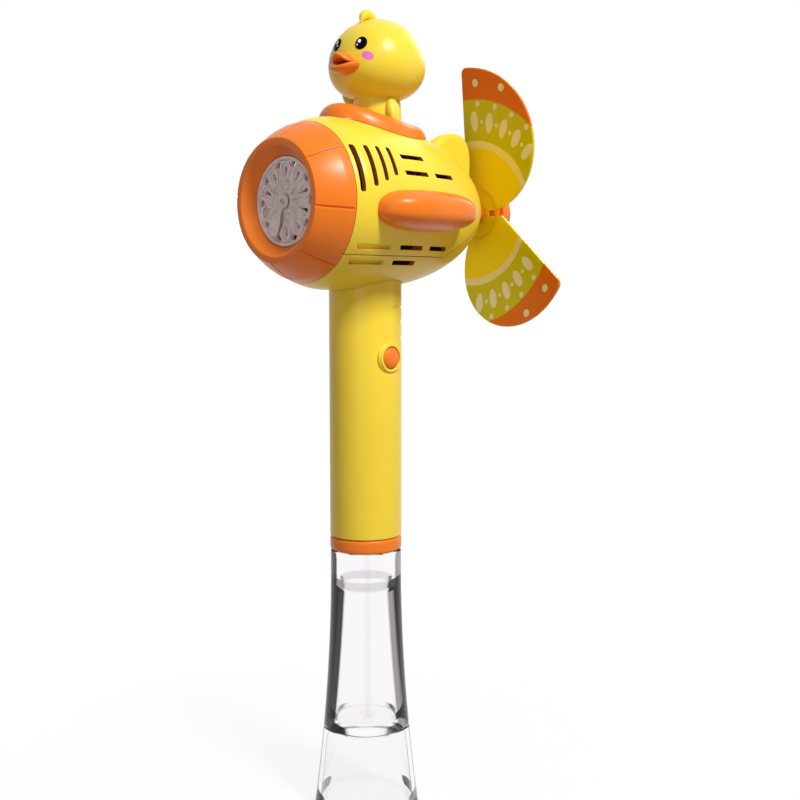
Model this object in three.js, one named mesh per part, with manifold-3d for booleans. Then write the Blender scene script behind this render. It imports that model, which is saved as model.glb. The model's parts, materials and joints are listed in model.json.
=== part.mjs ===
// A hand-held bubble windmill: a toy aeroplane on a battery handle.
// The nose blows bubbles, a duck rides in the cockpit and a printed windmill turns behind the tail.
// A clear bottle of bubble solution screws into the foot of the handle and stands the toy up.
//
// Millimetres, +Z up. The handle's axis is the Z axis and the bottle's foot stands on Z = 0.
// The nose points to -Y and the aeroplane's left wing to +X.

import * as THREE from 'three';
import { mergeVertices } from 'three/addons/utils/BufferGeometryUtils.js';
import Module from 'manifold-3d';

const wasm = await Module();
wasm.setup();

// Clearances
const FIT = 0.3;
const RUN = 0.4;

// How far a cutting shape runs past the piece it cuts
const PAST = 1;

// Handle
const HANDLE_R = 18;
const HANDLE_WALL = 2;
const HANDLE_BORE = HANDLE_R - HANDLE_WALL;
const HANDLE_FLOOR = 2.3;
const HANDLE_FLANGE_WIDTH = 2.5;
const HANDLE_FLANGE_HEIGHT = 1.7;

// Bottle of solution
const BOTTLE_STEP = 0.2;
const BOTTLE_R = HANDLE_R - BOTTLE_STEP;
const FOOT_FLARE = 8.8;
const FOOT_R = BOTTLE_R + FOOT_FLARE;
const FLARE_TOP = 127;
const FLARE_POWER = 1.93;
const FLOOR_Z = 42;
const BOTTLE_TOP = 133;
const BOTTLE_WALL = 3.2;
const LEDGE_DROP = 17;
const LEDGE_HEIGHT = 2;
const LEDGE_WIDTH = 2;
const HEEL_WALL = 5.1;
const FOOT_WALL = 2.2;
const NECK_WALL = 2.4;
const NECK_LENGTH = 9;
const GASKET_HEIGHT = 1.5;

// Collar, button and battery door
const COLLAR_HEIGHT = 7;
const COLLAR_ROUND = 1.6;
const COLLAR_ROUND_MIDDLE = 0.3 * COLLAR_ROUND;
const BUTTON_RISE = 97.3;
const BUTTON_Z = BOTTLE_TOP + BUTTON_RISE;
const BUTTON_R = 5.2;
const BUTTON_PROUD = 2.2;
const BUTTON_TRAVEL = 2;
const BUTTON_EDGE = 1.2;
const BUTTON_CROWN = 0.3;
const BUTTON_CROWN_R = 0.75 * BUTTON_R;
const BUTTON_RING_R = 7;
const BUTTON_RING_PROUD = 0.9;
const BUTTON_FLANGE_WIDTH = 1.2;
const BUTTON_FLANGE_HEIGHT = 1.2;
const DOOR_MARGIN = 6;
const DOOR_LENGTH = 96;
const DOOR_HALF_ANGLE = 48;

// Batteries and switch, two cells side by side across the bore
const CELL_SHARE = 0.453;
const CELL_R = CELL_SHARE * HANDLE_BORE;
const CELL_LENGTH = 50.5;
const CELL_COUNT = 4;
const CELL_NUB_R = 2.6;
const CELL_NUB_HEIGHT = 1.2;
const CELL_SET_BACK = 0.25;
const CELL_X = -CELL_SET_BACK * HANDLE_BORE;
const HOLDER_PLATE = 1.5;
const HOLDER_SPINE = 1.2;
const CONTACT_PLATE = 0.6;
const BOARD_THICKNESS = 1.2;
const BOARD_WIDTH = 10;
const BOARD_HEIGHT = 32;
const SWITCH_SHARE = 0.4;
const SWITCH_SIZE = SWITCH_SHARE * HANDLE_BORE;
const STEM_R = 1.6;

// Solution tube, beside the circuit board, and pump
const TUBE_SHARE = 0.125;
const TUBE_R = TUBE_SHARE * HANDLE_BORE;
const TUBE_BORE_R = TUBE_R / 2;
const SPINE_X = CELL_X + CELL_R + FIT;
const TUBE_X = SPINE_X + HOLDER_SPINE + FIT / 2 + TUBE_R;
const TUBE_Y = -SWITCH_SIZE / 2 - RUN - TUBE_R;
const NECK_BORE = Math.hypot(TUBE_X, TUBE_Y) + TUBE_R + FIT;
const NECK_R = NECK_BORE + NECK_WALL;
const OUTLET_ANGLE = 210;
const FILTER_R = 3.4;
const FILTER_HEIGHT = 5;
const FILTER_BASE = 1.5;
const PUMP_TRACK_R = 11;
const PUMP_WALL = 2;
const PUMP_WIDTH = 8;
const PUMP_HALF_ARC = 80;
const ROTOR_LOBES = 3;
const LOBE_SHARE = 0.25;
const ROTOR_HUB_SHARE = 0.45;
const TUBE_STEPS = 28;
const TUBE_SHIFT = 1;

// Fuselage, a body turned about the flight axis
const AXIS_RISE = 171.2;
const AXIS_Z = BOTTLE_TOP + AXIS_RISE;
const BELLY_R = 40.82;
const WIDEST_Y = -25.3;
const NOSE_Y = -40;
const NOSE_DROP = 3.32;
const NOSE_R = BELLY_R - NOSE_DROP;
const TAIL_TIP_Y = 80;
const TAIL_CUT = 2;
const TAIL_FULLNESS = 3.02;
const TAIL_ROUNDNESS = 1.3;
const SHELL_WALL = 2.2;
const SEAM_DROP = 25;
const SEAM_KNEE_Y = 27;
const VENT_COUNT = 4;
const VENT_FIRST_Y = -37;
const VENT_PITCH = 6.75;
const VENT_WIDTH = 2;
const VENT_TOP = 24.7;
const VENT_FOOT = 3.1;
const VENT_RISE = 2.8;
const SLOT_HEIGHT = 2.1;
const SLOT_SLANT = 1;
const SLOT_FRONT = [-36, -16];
const SLOT_MIDDLE = [-10.2, 5.5];
const SLOT_REAR = [11.2, 25.2];
const SLOT_HIGH = 20.9;
const SLOT_UPPER = 13.3;
const SLOT_LOWER = -21;
const SLOT_BELLY = -28;

// Nose ring and bubble disc
const RIM_Y = -56;
const RIM_DROP = 9;
const RIM_R = NOSE_R - RIM_DROP;
const LIP_Y = -56.8;
const LIP_DROP = 1.7;
const LIP_R = RIM_R - LIP_DROP;
const BOWL_WIDTH = 6.1;
const BOWL_FALL = 2.2;
const DISC_R = LIP_R - BOWL_WIDTH;
const DISC_FRONT_Y = -51.1;
const DISC_THICKNESS = 2.8;
const DISC_LEDGE = 1.5;
const NOSE_BULGE = 0.9;
const SPIGOT_LENGTH = 5;
const SPIGOT_WALL = 2;
const GROOVE_COUNT = 8;
const GROOVE_WIDTH = 1.1;
const GROOVE_DEPTH = 0.8;
const GROOVE_TURN = 7;
const LOOP_COUNT = 10;
const LOOP_CENTRE = 0.725 * DISC_R;
const LOOP_POINT = 0.45 * DISC_R;
const LOOP_R = 0.145 * DISC_R;
const PIERCE_R = 0.053 * DISC_R;
const PIERCE_REACH = 0.85 * DISC_R;
const WIPER_REACH = 0.87 * DISC_R;
const WIPER_WIDTH = 0.36 * DISC_R;
const WIPER_ROOT = 4;
const WIPER_THICKNESS = 1.2;
const WIPER_CAP = 1;
const WIPER_ANGLE = 240;
const WIPER_SHAFT_R = 1.5;

// Gear train, fan and motor
const GEAR_MODULE = 0.9;
const PINION_TEETH = 12;
const WHEEL_TEETH = 30;
const PRESSURE_ANGLE = 25;
const BACKLASH = 0.25;
const ROOT_DEPTH = 1.25 * GEAR_MODULE;
const CENTRE_EASE = 0.1;
const GEAR_FACE = 4;
const BULKHEAD = 2;
const FRONT_BULKHEAD_Y = -17;
const WINDOW_R = 0.17 * BELLY_R;
const WINDOW_X = 0.61 * BELLY_R;
const WINDOW_Z = 0.27 * BELLY_R;
const IDLER_PIN_R = 1.5;
const MOTOR_R = 10.2;
const MOTOR_FLAT = 7.6;
const MOTOR_LENGTH = 25;
const MOTOR_BOSS_R = 3;
const MOTOR_SHAFT_R = 1;
const FAN_BLADES = 5;
const FAN_R = 22;
const FAN_HUB_R = 7;
const FAN_LENGTH = 9;
const FAN_GAP = 8;
const FAN_BLADE_THICKNESS = 1.4;
const FAN_PITCH = 38;
const SHROUD_WALL = 2;

// Wings, fin and cockpit
const WING_SINK = 4.8;
const WING_ROOT_X = BELLY_R - WING_SINK;
const WING_SPAN = 19.4;
const WING_HALF_CHORD = 31;
const WING_HALF_THICKNESS = 9.5;
const WING_Y = 0.8;
const WING_DROP = 3.9;
const WING_FULLNESS = 0.75;
const FIN_THICKNESS = 9;
const FIN_TOP = BELLY_R;
const FIN_FRONT_Y = 43;
const FIN_REAR_Y = 74.5;
const FIN_ROUND = 3.4;
const FIN_CROWN_BACK = 5;
const COCKPIT_Y = 5.5;
const COCKPIT_HALF_WIDTH = 24.3;
const COCKPIT_HALF_LENGTH = 29.5;
const COCKPIT_BAND = 5.5;
const COCKPIT_RISE = 3.4;
const COCKPIT_TOP = BELLY_R + COCKPIT_RISE;
const COCKPIT_SLOPE = 0.12;
const COCKPIT_SAG = 6.5;
const COCKPIT_BROW = 8;
const COCKPIT_EDGE = 1.2;
const COCKPIT_DEPTH = 20;

// Duck
const HEAD_R = 23.2;
const HEAD_HALF_HEIGHT = 20.1;
const HEAD_Y = 8.4;
const HEAD_RISE = 29.9;
const HEAD_Z = BELLY_R + HEAD_RISE;
const HEAD_SQUARENESS = 0.94;
const HEAD_TAPER = 0.12;
const FACE_TURN = 7;
const TORSO_R = 12;
const TORSO_NECK_R = 11;
const TORSO_SHOULDER = 8;
const TUFT_R = 2.2;
const TUFT_RISE = 4.2;
const TUFT_LENGTH = 8.5;
const TUFT_FORWARD = 2.4;
const ARM_R = 2.5;
const ARM_LENGTH = 13;
const ARM_LEAN = 15;
const ARM_BREADTH = 1.3 * ARM_R;
const ARM_OUT = 0.4 * ARM_R;
const ARM_FORWARD = 2;
const ARM_FULLNESS = 0.85;
const ARM_RISE = 1;
const WAVE_LEAN = 44;
const WAVE_OUT = 4.2;
const WAVE_RISE = 3.6;
const BILL_DROP = 4.1;
const BILL_OUT = 0.4;
const BILL_REACH = 6.5;
const BILL_LOWER_HALF = 8.2;
const BILL_UPPER_HALF = 6.4;
const BILL_LOWER_DEPTH = 2.6;
const BILL_UPPER_DEPTH = 1.5;
const BILL_CROWN = 1.2;

// Windmill
const SHAFT_R = 2;
const BUSH_WALL = 1.2;
const BUSH_FLANGE_R = 6;
const BUSH_FLANGE = 2;
const CLIP_R = 4.5;
const CLIP_WIDTH = 3;
const BLADE_COUNT = 3;
const BLADE_R = 76;
const BLADE_ROOT_R = 13;
const BLADE_OFFSET = 9;
const BLADE_SWEEP = 83;
const BLADE_FULLNESS = 1.25;
const BLADE_THICKNESS = 1.4;
const BLADE_TIP_ROUND = 3;
const BLADE_SLOT_R = 8;
const BLADE_SLOT_WIDTH = 3;
const BLADE_LEAN = 0.205;
const BLADE_PITCH = 0.04;
const BLADE_TURN = 6;
const BLADE_DISC_Y = 85;
const BLADE_DISC_R = BLADE_ROOT_R + 2;
const BLADE_ROWS = 9;
const BLADE_COLUMNS = 5;
const HUB_R = 14.5;
const HUB_LENGTH = 9;
const HUB_NECK_R = 11;
const HUB_NECK = 3;
const HUB_WALL = 2;
const HUB_CROWN_R = 0.8 * HUB_R;
const NUT_R = 5;

// Colours
const YELLOW = 0xf6dc4a;
const ORANGE = 0xee7a27;
const CLEAR = 0xf2f4f5;
const SMOKE = 0xb8b4b8;
const WHITE = 0xf3f1ea;
const STEEL = 0xb9bcc0;
const GREEN = 0x2f7a4a;
const BLACK = 0x26262a;

// How round a turned piece is, in facets
const FINE = 24;
const MEDIUM = 16;
const COARSE = 10;
const TUBE_SIDES = 6;

const degrees = THREE.MathUtils.degToRad;
const steps = (count) => Array.from({ length: count }, (_, i) => i);
const heights = (low, high, count) => steps(count + 1).map((i) => low + ((high - low) * i) / count);

// A closed geometry as a solid with its faces pointing out.
function solid(geometry) {
  const bare = geometry.clone();
  bare.deleteAttribute('normal');
  bare.deleteAttribute('uv');
  const merged = mergeVertices(bare, 1e-4);
  const points = merged.attributes.position.array;
  const corners = [];
  for (let i = 0; i < merged.index.count; i += 3) {
    const [a, b, c] = [0, 1, 2].map((k) => merged.index.getX(i + k));
    if (a !== b && b !== c && c !== a) corners.push(a, b, c);
  }
  if (signedVolume(points, corners) < 0) corners.reverse();
  const mesh = new wasm.Mesh({
    numProp: 3,
    vertProperties: new Float32Array(points),
    triVerts: new Uint32Array(corners),
  });
  return new wasm.Manifold(mesh);
}

function signedVolume(points, corners) {
  const [a, b, c] = [new THREE.Vector3(), new THREE.Vector3(), new THREE.Vector3()];
  let volume = 0;
  for (let i = 0; i < corners.length; i += 3) {
    a.fromArray(points, 3 * corners[i]);
    b.fromArray(points, 3 * corners[i + 1]);
    c.fromArray(points, 3 * corners[i + 2]);
    volume += a.dot(b.cross(c)) / 6;
  }
  return volume;
}

function geometryOf(body) {
  const mesh = body.getMesh();
  const geometry = new THREE.BufferGeometry();
  geometry.setAttribute('position', new THREE.BufferAttribute(new Float32Array(mesh.vertProperties), 3));
  geometry.setIndex(new THREE.BufferAttribute(new Uint32Array(mesh.triVerts), 1));
  geometry.computeVertexNormals();
  return geometry;
}

function addPiece(group, name, body, colour, roughness = 0.4, metalness = 0) {
  const material = new THREE.MeshStandardMaterial({ color: colour, roughness, metalness });
  const mesh = new THREE.Mesh(geometryOf(body), material);
  mesh.name = name;
  group.add(mesh);
  return mesh;
}

const vectors = (pairs) => pairs.map(([x, y]) => new THREE.Vector2(x, y));

// Turned about Z, X or Y from pairs of radius and height along that axis.
function turnZ(profile, facets = MEDIUM) {
  return solid(new THREE.LatheGeometry(vectors(profile), facets).rotateX(Math.PI / 2));
}

function turnX(profile, facets = MEDIUM) {
  return solid(new THREE.LatheGeometry(vectors(profile), facets).rotateZ(-Math.PI / 2));
}

function turnY(profile, facets = MEDIUM) {
  return solid(new THREE.LatheGeometry(vectors(profile), facets));
}

// A rod or a ring along an axis, as a profile for the turning functions.
const rod = (radius, low, high) => [[0, low], [radius, low], [radius, high], [0, high]];

function ring(inner, outer, low, high) {
  return [[inner, low], [outer, low], [outer, high], [inner, high], [inner, low]];
}

// A flat outline pushed along Z, along X from (y, z), or along Y from (x, z).
function pushZ(shape, low, high) {
  const geometry = new THREE.ExtrudeGeometry(shape, { depth: high - low, bevelEnabled: false });
  return solid(geometry.translate(0, 0, low));
}

function pushX(shape, low, high) {
  const geometry = new THREE.ExtrudeGeometry(shape, { depth: high - low, bevelEnabled: false });
  const turn = new THREE.Matrix4().set(0, 0, 1, low, 1, 0, 0, 0, 0, 1, 0, 0, 0, 0, 0, 1);
  return solid(geometry.applyMatrix4(turn));
}

function pushY(shape, low, high, curveSegments = 12) {
  const options = { depth: high - low, bevelEnabled: false, curveSegments };
  const geometry = new THREE.ExtrudeGeometry(shape, options);
  return solid(geometry.rotateX(Math.PI / 2).translate(0, high, 0));
}

function block(x0, x1, y0, y1, z0, z1) {
  const geometry = new THREE.BoxGeometry(x1 - x0, y1 - y0, z1 - z0);
  return solid(geometry.translate((x0 + x1) / 2, (y0 + y1) / 2, (z0 + z1) / 2));
}

const outline = (pairs) => new THREE.Shape(vectors(pairs));

function annularSector(inner, outer, middle, half) {
  const shape = new THREE.Shape();
  shape.absarc(0, 0, outer, degrees(middle - half), degrees(middle + half), false);
  shape.absarc(0, 0, inner, degrees(middle + half), degrees(middle - half), true);
  return shape;
}

// Points along an arc, with the angles in degrees.
function arc(x, y, radius, from, to, count) {
  return heights(from, to, count).map((a) => (
    new THREE.Vector2(x + radius * Math.cos(degrees(a)), y + radius * Math.sin(degrees(a)))));
}

function circlePath(x, y, radius, facets = COARSE) {
  return new THREE.Path(arc(x, y, radius, 0, 360, facets).slice(1));
}

// A ball drawn out to three half sizes; a fullness under 1 squares its shoulders.
// A bend may move the ball's points before they are drawn out.
function roundBody([rx, ry, rz], [cx, cy, cz], options = {}) {
  const { fullness = 1, columns = MEDIUM, rows = 12, bend = (x, y, z) => [x, y, z] } = options;
  const geometry = new THREE.SphereGeometry(1, columns, rows);
  const place = geometry.attributes.position;
  const bulge = (value) => Math.sign(value) * Math.pow(Math.abs(value), fullness);
  for (let i = 0; i < place.count; i += 1) {
    const [x, y, z] = bend(...[place.getX(i), place.getY(i), place.getZ(i)].map(bulge));
    place.setXYZ(i, cx + rx * x, cy + ry * y, cz + rz * z);
  }
  return solid(geometry);
}

function tubeAlong(curve, outer, inner, steps) {
  const section = new THREE.Shape(arc(0, 0, outer, 0, 360, TUBE_SIDES).slice(1));
  if (inner > 0) section.holes.push(circlePath(0, 0, inner, TUBE_SIDES));
  const options = { steps, extrudePath: curve, bevelEnabled: false };
  return solid(new THREE.ExtrudeGeometry(section, options));
}

const turned = (body, degreesAboutY) => body.rotate([0, degreesAboutY, 0]);

function unite(bodies) {
  return bodies.reduce((whole, body) => whole.add(body));
}

function cutAll(body, cutters) {
  return cutters.reduce((rest, cutter) => rest.subtract(cutter), body);
}

const toy = new THREE.Group();
const fuselage = new THREE.Group();
fuselage.position.z = AXIS_Z;
toy.add(fuselage);

// Outline of the fuselage

function outerRadius(y) {
  if (y < WIDEST_Y) {
    const share = (WIDEST_Y - y) / (WIDEST_Y - NOSE_Y);
    return BELLY_R - (BELLY_R - NOSE_R) * share ** 2;
  }
  const along = Math.min(1, (y - WIDEST_Y) / (TAIL_TIP_Y - WIDEST_Y));
  return BELLY_R * Math.pow(1 - Math.pow(along, TAIL_FULLNESS), 1 / TAIL_ROUNDNESS);
}

// The wall keeps its thickness where the tail closes in, so the inside runs ahead of the outside there.
function innerRadius(y) {
  const closing = Math.max(0, (y - WIDEST_Y) / (TAIL_TIP_Y - WIDEST_Y));
  return outerRadius(y + SHELL_WALL * closing) - SHELL_WALL;
}

const TAIL_Y = TAIL_TIP_Y - TAIL_CUT;
const BUSH_R = SHAFT_R + RUN + BUSH_WALL;

function cavityEnd() {
  let y = WIDEST_Y;
  while (innerRadius(y) > BUSH_FLANGE_R + SHELL_WALL) y += 0.25;
  return y;
}

const CAVITY_Y = cavityEnd();

// Closer stations near the tail, where the outline bends most.
function stations(from, to, count) {
  return steps(count + 1).map((i) => from + (to - from) * Math.sin((Math.PI / 2) * (i / count)));
}

const OUTSIDE = [...heights(NOSE_Y, WIDEST_Y, 2), ...stations(WIDEST_Y, TAIL_Y, 7).slice(1)];
const INSIDE = [NOSE_Y, ...stations(WIDEST_Y, CAVITY_Y, 4)];

// The cavity's radius between its turned stations.
function cavityRadius(y) {
  const i = Math.max(1, INSIDE.findIndex((station) => station > y));
  const [low, high] = [INSIDE[i - 1], INSIDE[i]];
  return THREE.MathUtils.mapLinear(y, low, high, innerRadius(low), innerRadius(high));
}

// Bottle

const flareRadius = (z) => {
  const climb = Math.max(0, 1 - z / FLARE_TOP);
  return BOTTLE_R + (FOOT_R - BOTTLE_R) * Math.pow(climb, FLARE_POWER);
};

const NECK_TOP = BOTTLE_TOP + NECK_LENGTH;

function makeBottle() {
  const outside = heights(FLOOR_Z, FLARE_TOP, 4).map((z) => [flareRadius(z), z]);
  const floor = FLOOR_Z + BOTTLE_WALL;
  const ceiling = BOTTLE_TOP - BOTTLE_WALL;
  const ledge = BOTTLE_TOP - LEDGE_DROP;
  const widest = flareRadius(floor) - HEEL_WALL;
  const wide = BOTTLE_R - BOTTLE_WALL;
  const top = [[wide, ceiling], [wide, ledge + LEDGE_HEIGHT]];
  const inside = [...top, [wide - LEDGE_WIDTH, ledge], [widest, floor]];
  const neck = [[BOTTLE_R, BOTTLE_TOP], [NECK_R, BOTTLE_TOP], [NECK_R, NECK_TOP], [NECK_BORE, NECK_TOP]];
  const shoulder = [[NECK_BORE, BOTTLE_TOP]];
  return turnZ([[0, FLOOR_Z], ...outside, ...neck, ...shoulder, ...inside, [0, floor]], FINE);
}

function makeFoot() {
  const top = FLOOR_Z - FIT;
  const outside = heights(0, top, 3).map((z) => [flareRadius(z), z]);
  const inside = heights(FOOT_WALL, top, 3).map((z) => [flareRadius(z) - FOOT_WALL, z]).reverse();
  return turnZ([[0, 0], ...outside, ...inside, [0, FOOT_WALL]], FINE);
}

addPiece(toy, 'solution_bottle', makeBottle(), CLEAR, 0.05);
addPiece(toy, 'bottle_foot', makeFoot(), CLEAR, 0.05);

const GASKET_Z = NECK_TOP + FIT;
const gasketProfile = ring(NECK_BORE + FIT, NECK_R - FIT, GASKET_Z, GASKET_Z + GASKET_HEIGHT);
addPiece(toy, 'bottle_gasket', turnZ(gasketProfile), WHITE, 0.8);

// Handle

const COLLAR_Z = BOTTLE_TOP + FIT;
const HANDLE_Z = COLLAR_Z + COLLAR_HEIGHT + FIT;
const FLANGE_R = HANDLE_R + HANDLE_FLANGE_WIDTH;
const BELLY_INSIDE = cavityRadius(0) * Math.cos(Math.PI / FINE);
const FLANGE_Z = AXIS_Z - Math.sqrt(BELLY_INSIDE ** 2 - FLANGE_R ** 2) + FIT;
const HANDLE_TOP = FLANGE_Z + HANDLE_FLANGE_HEIGHT;
const FLOOR_LOW = GASKET_Z + GASKET_HEIGHT + FIT;
const FLOOR_HIGH = FLOOR_LOW + HANDLE_FLOOR;

function makeScrewCollar() {
  const top = COLLAR_Z + COLLAR_HEIGHT;
  const bore = NECK_R + FIT;
  const lowest = HANDLE_R - COLLAR_ROUND;
  const bend = [HANDLE_R - COLLAR_ROUND_MIDDLE, COLLAR_Z + COLLAR_ROUND_MIDDLE];
  const roundEdge = [[lowest, COLLAR_Z], bend];
  const side = [[HANDLE_R, COLLAR_Z + COLLAR_ROUND], [HANDLE_R, top]];
  return turnZ([[bore, COLLAR_Z], ...roundEdge, ...side, [bore, top], [bore, COLLAR_Z]], FINE);
}

const DOOR_Z = FLOOR_HIGH + DOOR_MARGIN;

function makeDoor(gap, reach) {
  const halfAngle = DOOR_HALF_ANGLE - THREE.MathUtils.radToDeg(gap / HANDLE_R);
  const shape = annularSector(HANDLE_BORE - reach, HANDLE_R + reach, 180, halfAngle);
  return pushZ(shape, DOOR_Z + gap, DOOR_Z + DOOR_LENGTH - gap);
}

function makeHandle() {
  const skirt = [[0, FLOOR_LOW], [HANDLE_BORE, FLOOR_LOW], [HANDLE_BORE, HANDLE_Z], [HANDLE_R, HANDLE_Z]];
  const flange = [[HANDLE_R, FLANGE_Z], [FLANGE_R, FLANGE_Z], [FLANGE_R, HANDLE_TOP]];
  const bore = [[HANDLE_BORE, HANDLE_TOP], [HANDLE_BORE, FLOOR_HIGH], [0, FLOOR_HIGH]];
  const shell = turnZ([...skirt, ...flange, ...bore], FINE);
  const ringFace = HANDLE_R + BUTTON_RING_PROUD;
  const buttonRing = turnX(rod(BUTTON_RING_R, HANDLE_R - HANDLE_WALL, ringFace)).translate([0, 0, BUTTON_Z]);
  const insideOfBore = turnZ(rod(HANDLE_BORE, FLOOR_HIGH, HANDLE_TOP), FINE);
  const buttonHole = turnX(rod(BUTTON_R + FIT, 0, HANDLE_R + BUTTON_R)).translate([0, 0, BUTTON_Z]);
  const tubeHole = turnZ(rod(TUBE_R + FIT, FLOOR_LOW - PAST, FLOOR_HIGH + PAST), COARSE)
    .translate([TUBE_X, TUBE_Y, 0]);
  const whole = shell.add(buttonRing.subtract(insideOfBore));
  return cutAll(whole, [buttonHole, tubeHole, makeDoor(0, PAST)]);
}

addPiece(toy, 'screw_collar', makeScrewCollar(), ORANGE);
addPiece(toy, 'handle_tube', makeHandle(), YELLOW);
addPiece(toy, 'battery_door', makeDoor(FIT, 0), YELLOW);

// Batteries, switch and button

const HOLDER_Z = FLOOR_HIGH + FIT;
const CONTACT_LOW = HOLDER_Z + HOLDER_PLATE + FIT;
const CELL_Z = CONTACT_LOW + CONTACT_PLATE + FIT;
const CONTACT_HIGH = CELL_Z + 2 * (CELL_LENGTH + FIT);
const HOLDER_TOP = CONTACT_HIGH + CONTACT_PLATE + FIT + HOLDER_PLATE;
const CELL_Y = CELL_R + FIT / 2;
const BOARD_X = SPINE_X + HOLDER_SPINE + FIT;

// A round plate that fills the handle's bore as far as the holder's spine.
function holderPlate(low, high, edgeX) {
  const round = turnZ(rod(HANDLE_BORE - FIT, low, high));
  return round.intersect(block(-HANDLE_R, edgeX, -HANDLE_R, HANDLE_R, low, high));
}

function makeHolder() {
  const back = SPINE_X + HOLDER_SPINE;
  const spineHalf = Math.sqrt((HANDLE_BORE - FIT) ** 2 - back ** 2);
  const spine = block(SPINE_X, back, -spineHalf, spineHalf, HOLDER_Z, HOLDER_TOP);
  const low = holderPlate(HOLDER_Z, HOLDER_Z + HOLDER_PLATE, back);
  const high = holderPlate(HOLDER_TOP - HOLDER_PLATE, HOLDER_TOP, back);
  return unite([spine, low, high]);
}

addPiece(toy, 'battery_holder', makeHolder(), BLACK, 0.6);
const contactEdge = SPINE_X - FIT;
const lowContact = holderPlate(CONTACT_LOW, CONTACT_LOW + CONTACT_PLATE, contactEdge);
const highContact = holderPlate(CONTACT_HIGH, CONTACT_HIGH + CONTACT_PLATE, contactEdge);
addPiece(toy, 'contact_plate_low', lowContact, STEEL, 0.3, 1);
addPiece(toy, 'contact_plate_high', highContact, STEEL, 0.3, 1);

function makeCell() {
  const shoulder = CELL_LENGTH - CELL_NUB_HEIGHT;
  const can = [[0, 0], [CELL_R, 0], [CELL_R, shoulder]];
  const nub = [[CELL_NUB_R, shoulder], [CELL_NUB_R, CELL_LENGTH], [0, CELL_LENGTH]];
  return turnZ([...can, ...nub], COARSE);
}

for (const i of steps(CELL_COUNT)) {
  const cell = addPiece(toy, `cell_${i + 1}`, makeCell(), STEEL, 0.35, 1);
  const level = Math.floor(i / 2);
  cell.position.set(CELL_X, i % 2 ? CELL_Y : -CELL_Y, CELL_Z + level * (CELL_LENGTH + FIT));
}

const SWITCH_X = BOARD_X + BOARD_THICKNESS + FIT;
const BUTTON_WALL_X = Math.sqrt(HANDLE_BORE ** 2 - (BUTTON_R + BUTTON_FLANGE_WIDTH) ** 2) - FIT;
const FLANGE_X = BUTTON_WALL_X - BUTTON_FLANGE_HEIGHT;
const SWITCH_FACE_X = FLANGE_X - BUTTON_TRAVEL - RUN;
const STEM_X = SWITCH_FACE_X - FIT;
const boardLow = -SWITCH_SIZE / 2;
const board = block(BOARD_X, BOARD_X + BOARD_THICKNESS, boardLow, boardLow + BOARD_WIDTH,
  BUTTON_Z - BOARD_HEIGHT / 2, BUTTON_Z + BOARD_HEIGHT / 2);
addPiece(toy, 'circuit_board', board, GREEN, 0.6);

function makeSwitch() {
  const half = SWITCH_SIZE / 2;
  const body = block(SWITCH_X, SWITCH_FACE_X, -half, half, BUTTON_Z - half, BUTTON_Z + half);
  const well = rod(STEM_R + FIT, STEM_X - BUTTON_TRAVEL - RUN, SWITCH_FACE_X + PAST);
  return body.subtract(turnX(well, COARSE).translate([0, 0, BUTTON_Z]));
}

function makeButton() {
  const face = HANDLE_R + BUTTON_PROUD;
  const flangeR = BUTTON_R + BUTTON_FLANGE_WIDTH;
  const stem = [[0, STEM_X], [STEM_R, STEM_X], [STEM_R, FLANGE_X], [flangeR, FLANGE_X]];
  const flange = [[flangeR, BUTTON_WALL_X], [BUTTON_R, BUTTON_WALL_X]];
  const cap = [[BUTTON_R, face - BUTTON_EDGE], [BUTTON_CROWN_R, face - BUTTON_CROWN], [0, face]];
  return turnX([...stem, ...flange, ...cap]).translate([0, 0, BUTTON_Z]);
}

addPiece(toy, 'tact_switch', makeSwitch(), BLACK, 0.5);
addPiece(toy, 'power_button', makeButton(), ORANGE);

// Fuselage shells

function fuselageBody(grow) {
  const side = OUTSIDE.map((y) => [outerRadius(y) + grow, y]);
  return turnY([[0, NOSE_Y], ...side, [0, TAIL_Y]], FINE);
}

function fuselageShell() {
  const outside = OUTSIDE.map((y) => [outerRadius(y), y]);
  const inside = INSIDE.map((y) => [innerRadius(y), y]);
  const hole = BUSH_R + FIT;
  return turnY([...outside, [hole, TAIL_Y], [hole, CAVITY_Y], ...inside.reverse(), outside[0]], FINE);
}

// Everything under the seam, which runs level along the belly and climbs to the middle of the tail.
function underSeam(lift) {
  const ahead = NOSE_Y - BELLY_R;
  const behind = TAIL_Y + BELLY_R;
  const climb = SEAM_DROP / (TAIL_Y - SEAM_KNEE_Y);
  const end = (behind - TAIL_Y) * climb;
  const low = -2 * BELLY_R;
  const line = [[ahead, lift - SEAM_DROP], [SEAM_KNEE_Y, lift - SEAM_DROP], [behind, lift + end]];
  return pushX(outline([[ahead, low], ...line, [behind, low]]), -2 * BELLY_R, 2 * BELLY_R);
}

function slot([from, to], middle) {
  const half = SLOT_HEIGHT / 2;
  const lower = [[from + SLOT_SLANT / 2, middle - half], [to + SLOT_SLANT / 2, middle - half]];
  const upper = [[to - SLOT_SLANT / 2, middle + half], [from - SLOT_SLANT / 2, middle + half]];
  return pushX(outline([...lower, ...upper]), -2 * BELLY_R, 2 * BELLY_R);
}

function vent(i) {
  const y = VENT_FIRST_Y + i * VENT_PITCH;
  const foot = VENT_FOOT + i * VENT_RISE;
  const half = VENT_WIDTH / 2;
  const shape = new THREE.Shape();
  shape.absarc(y, foot + half, half, Math.PI, 2 * Math.PI, false);
  shape.absarc(y, VENT_TOP - half, half, 0, Math.PI, false);
  const options = { depth: 4 * BELLY_R, bevelEnabled: false, curveSegments: 4 };
  const turn = new THREE.Matrix4().set(0, 0, 1, -2 * BELLY_R, 1, 0, 0, 0, 0, 1, 0, 0, 0, 0, 0, 1);
  return solid(new THREE.ExtrudeGeometry(shape, options).applyMatrix4(turn));
}

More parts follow.
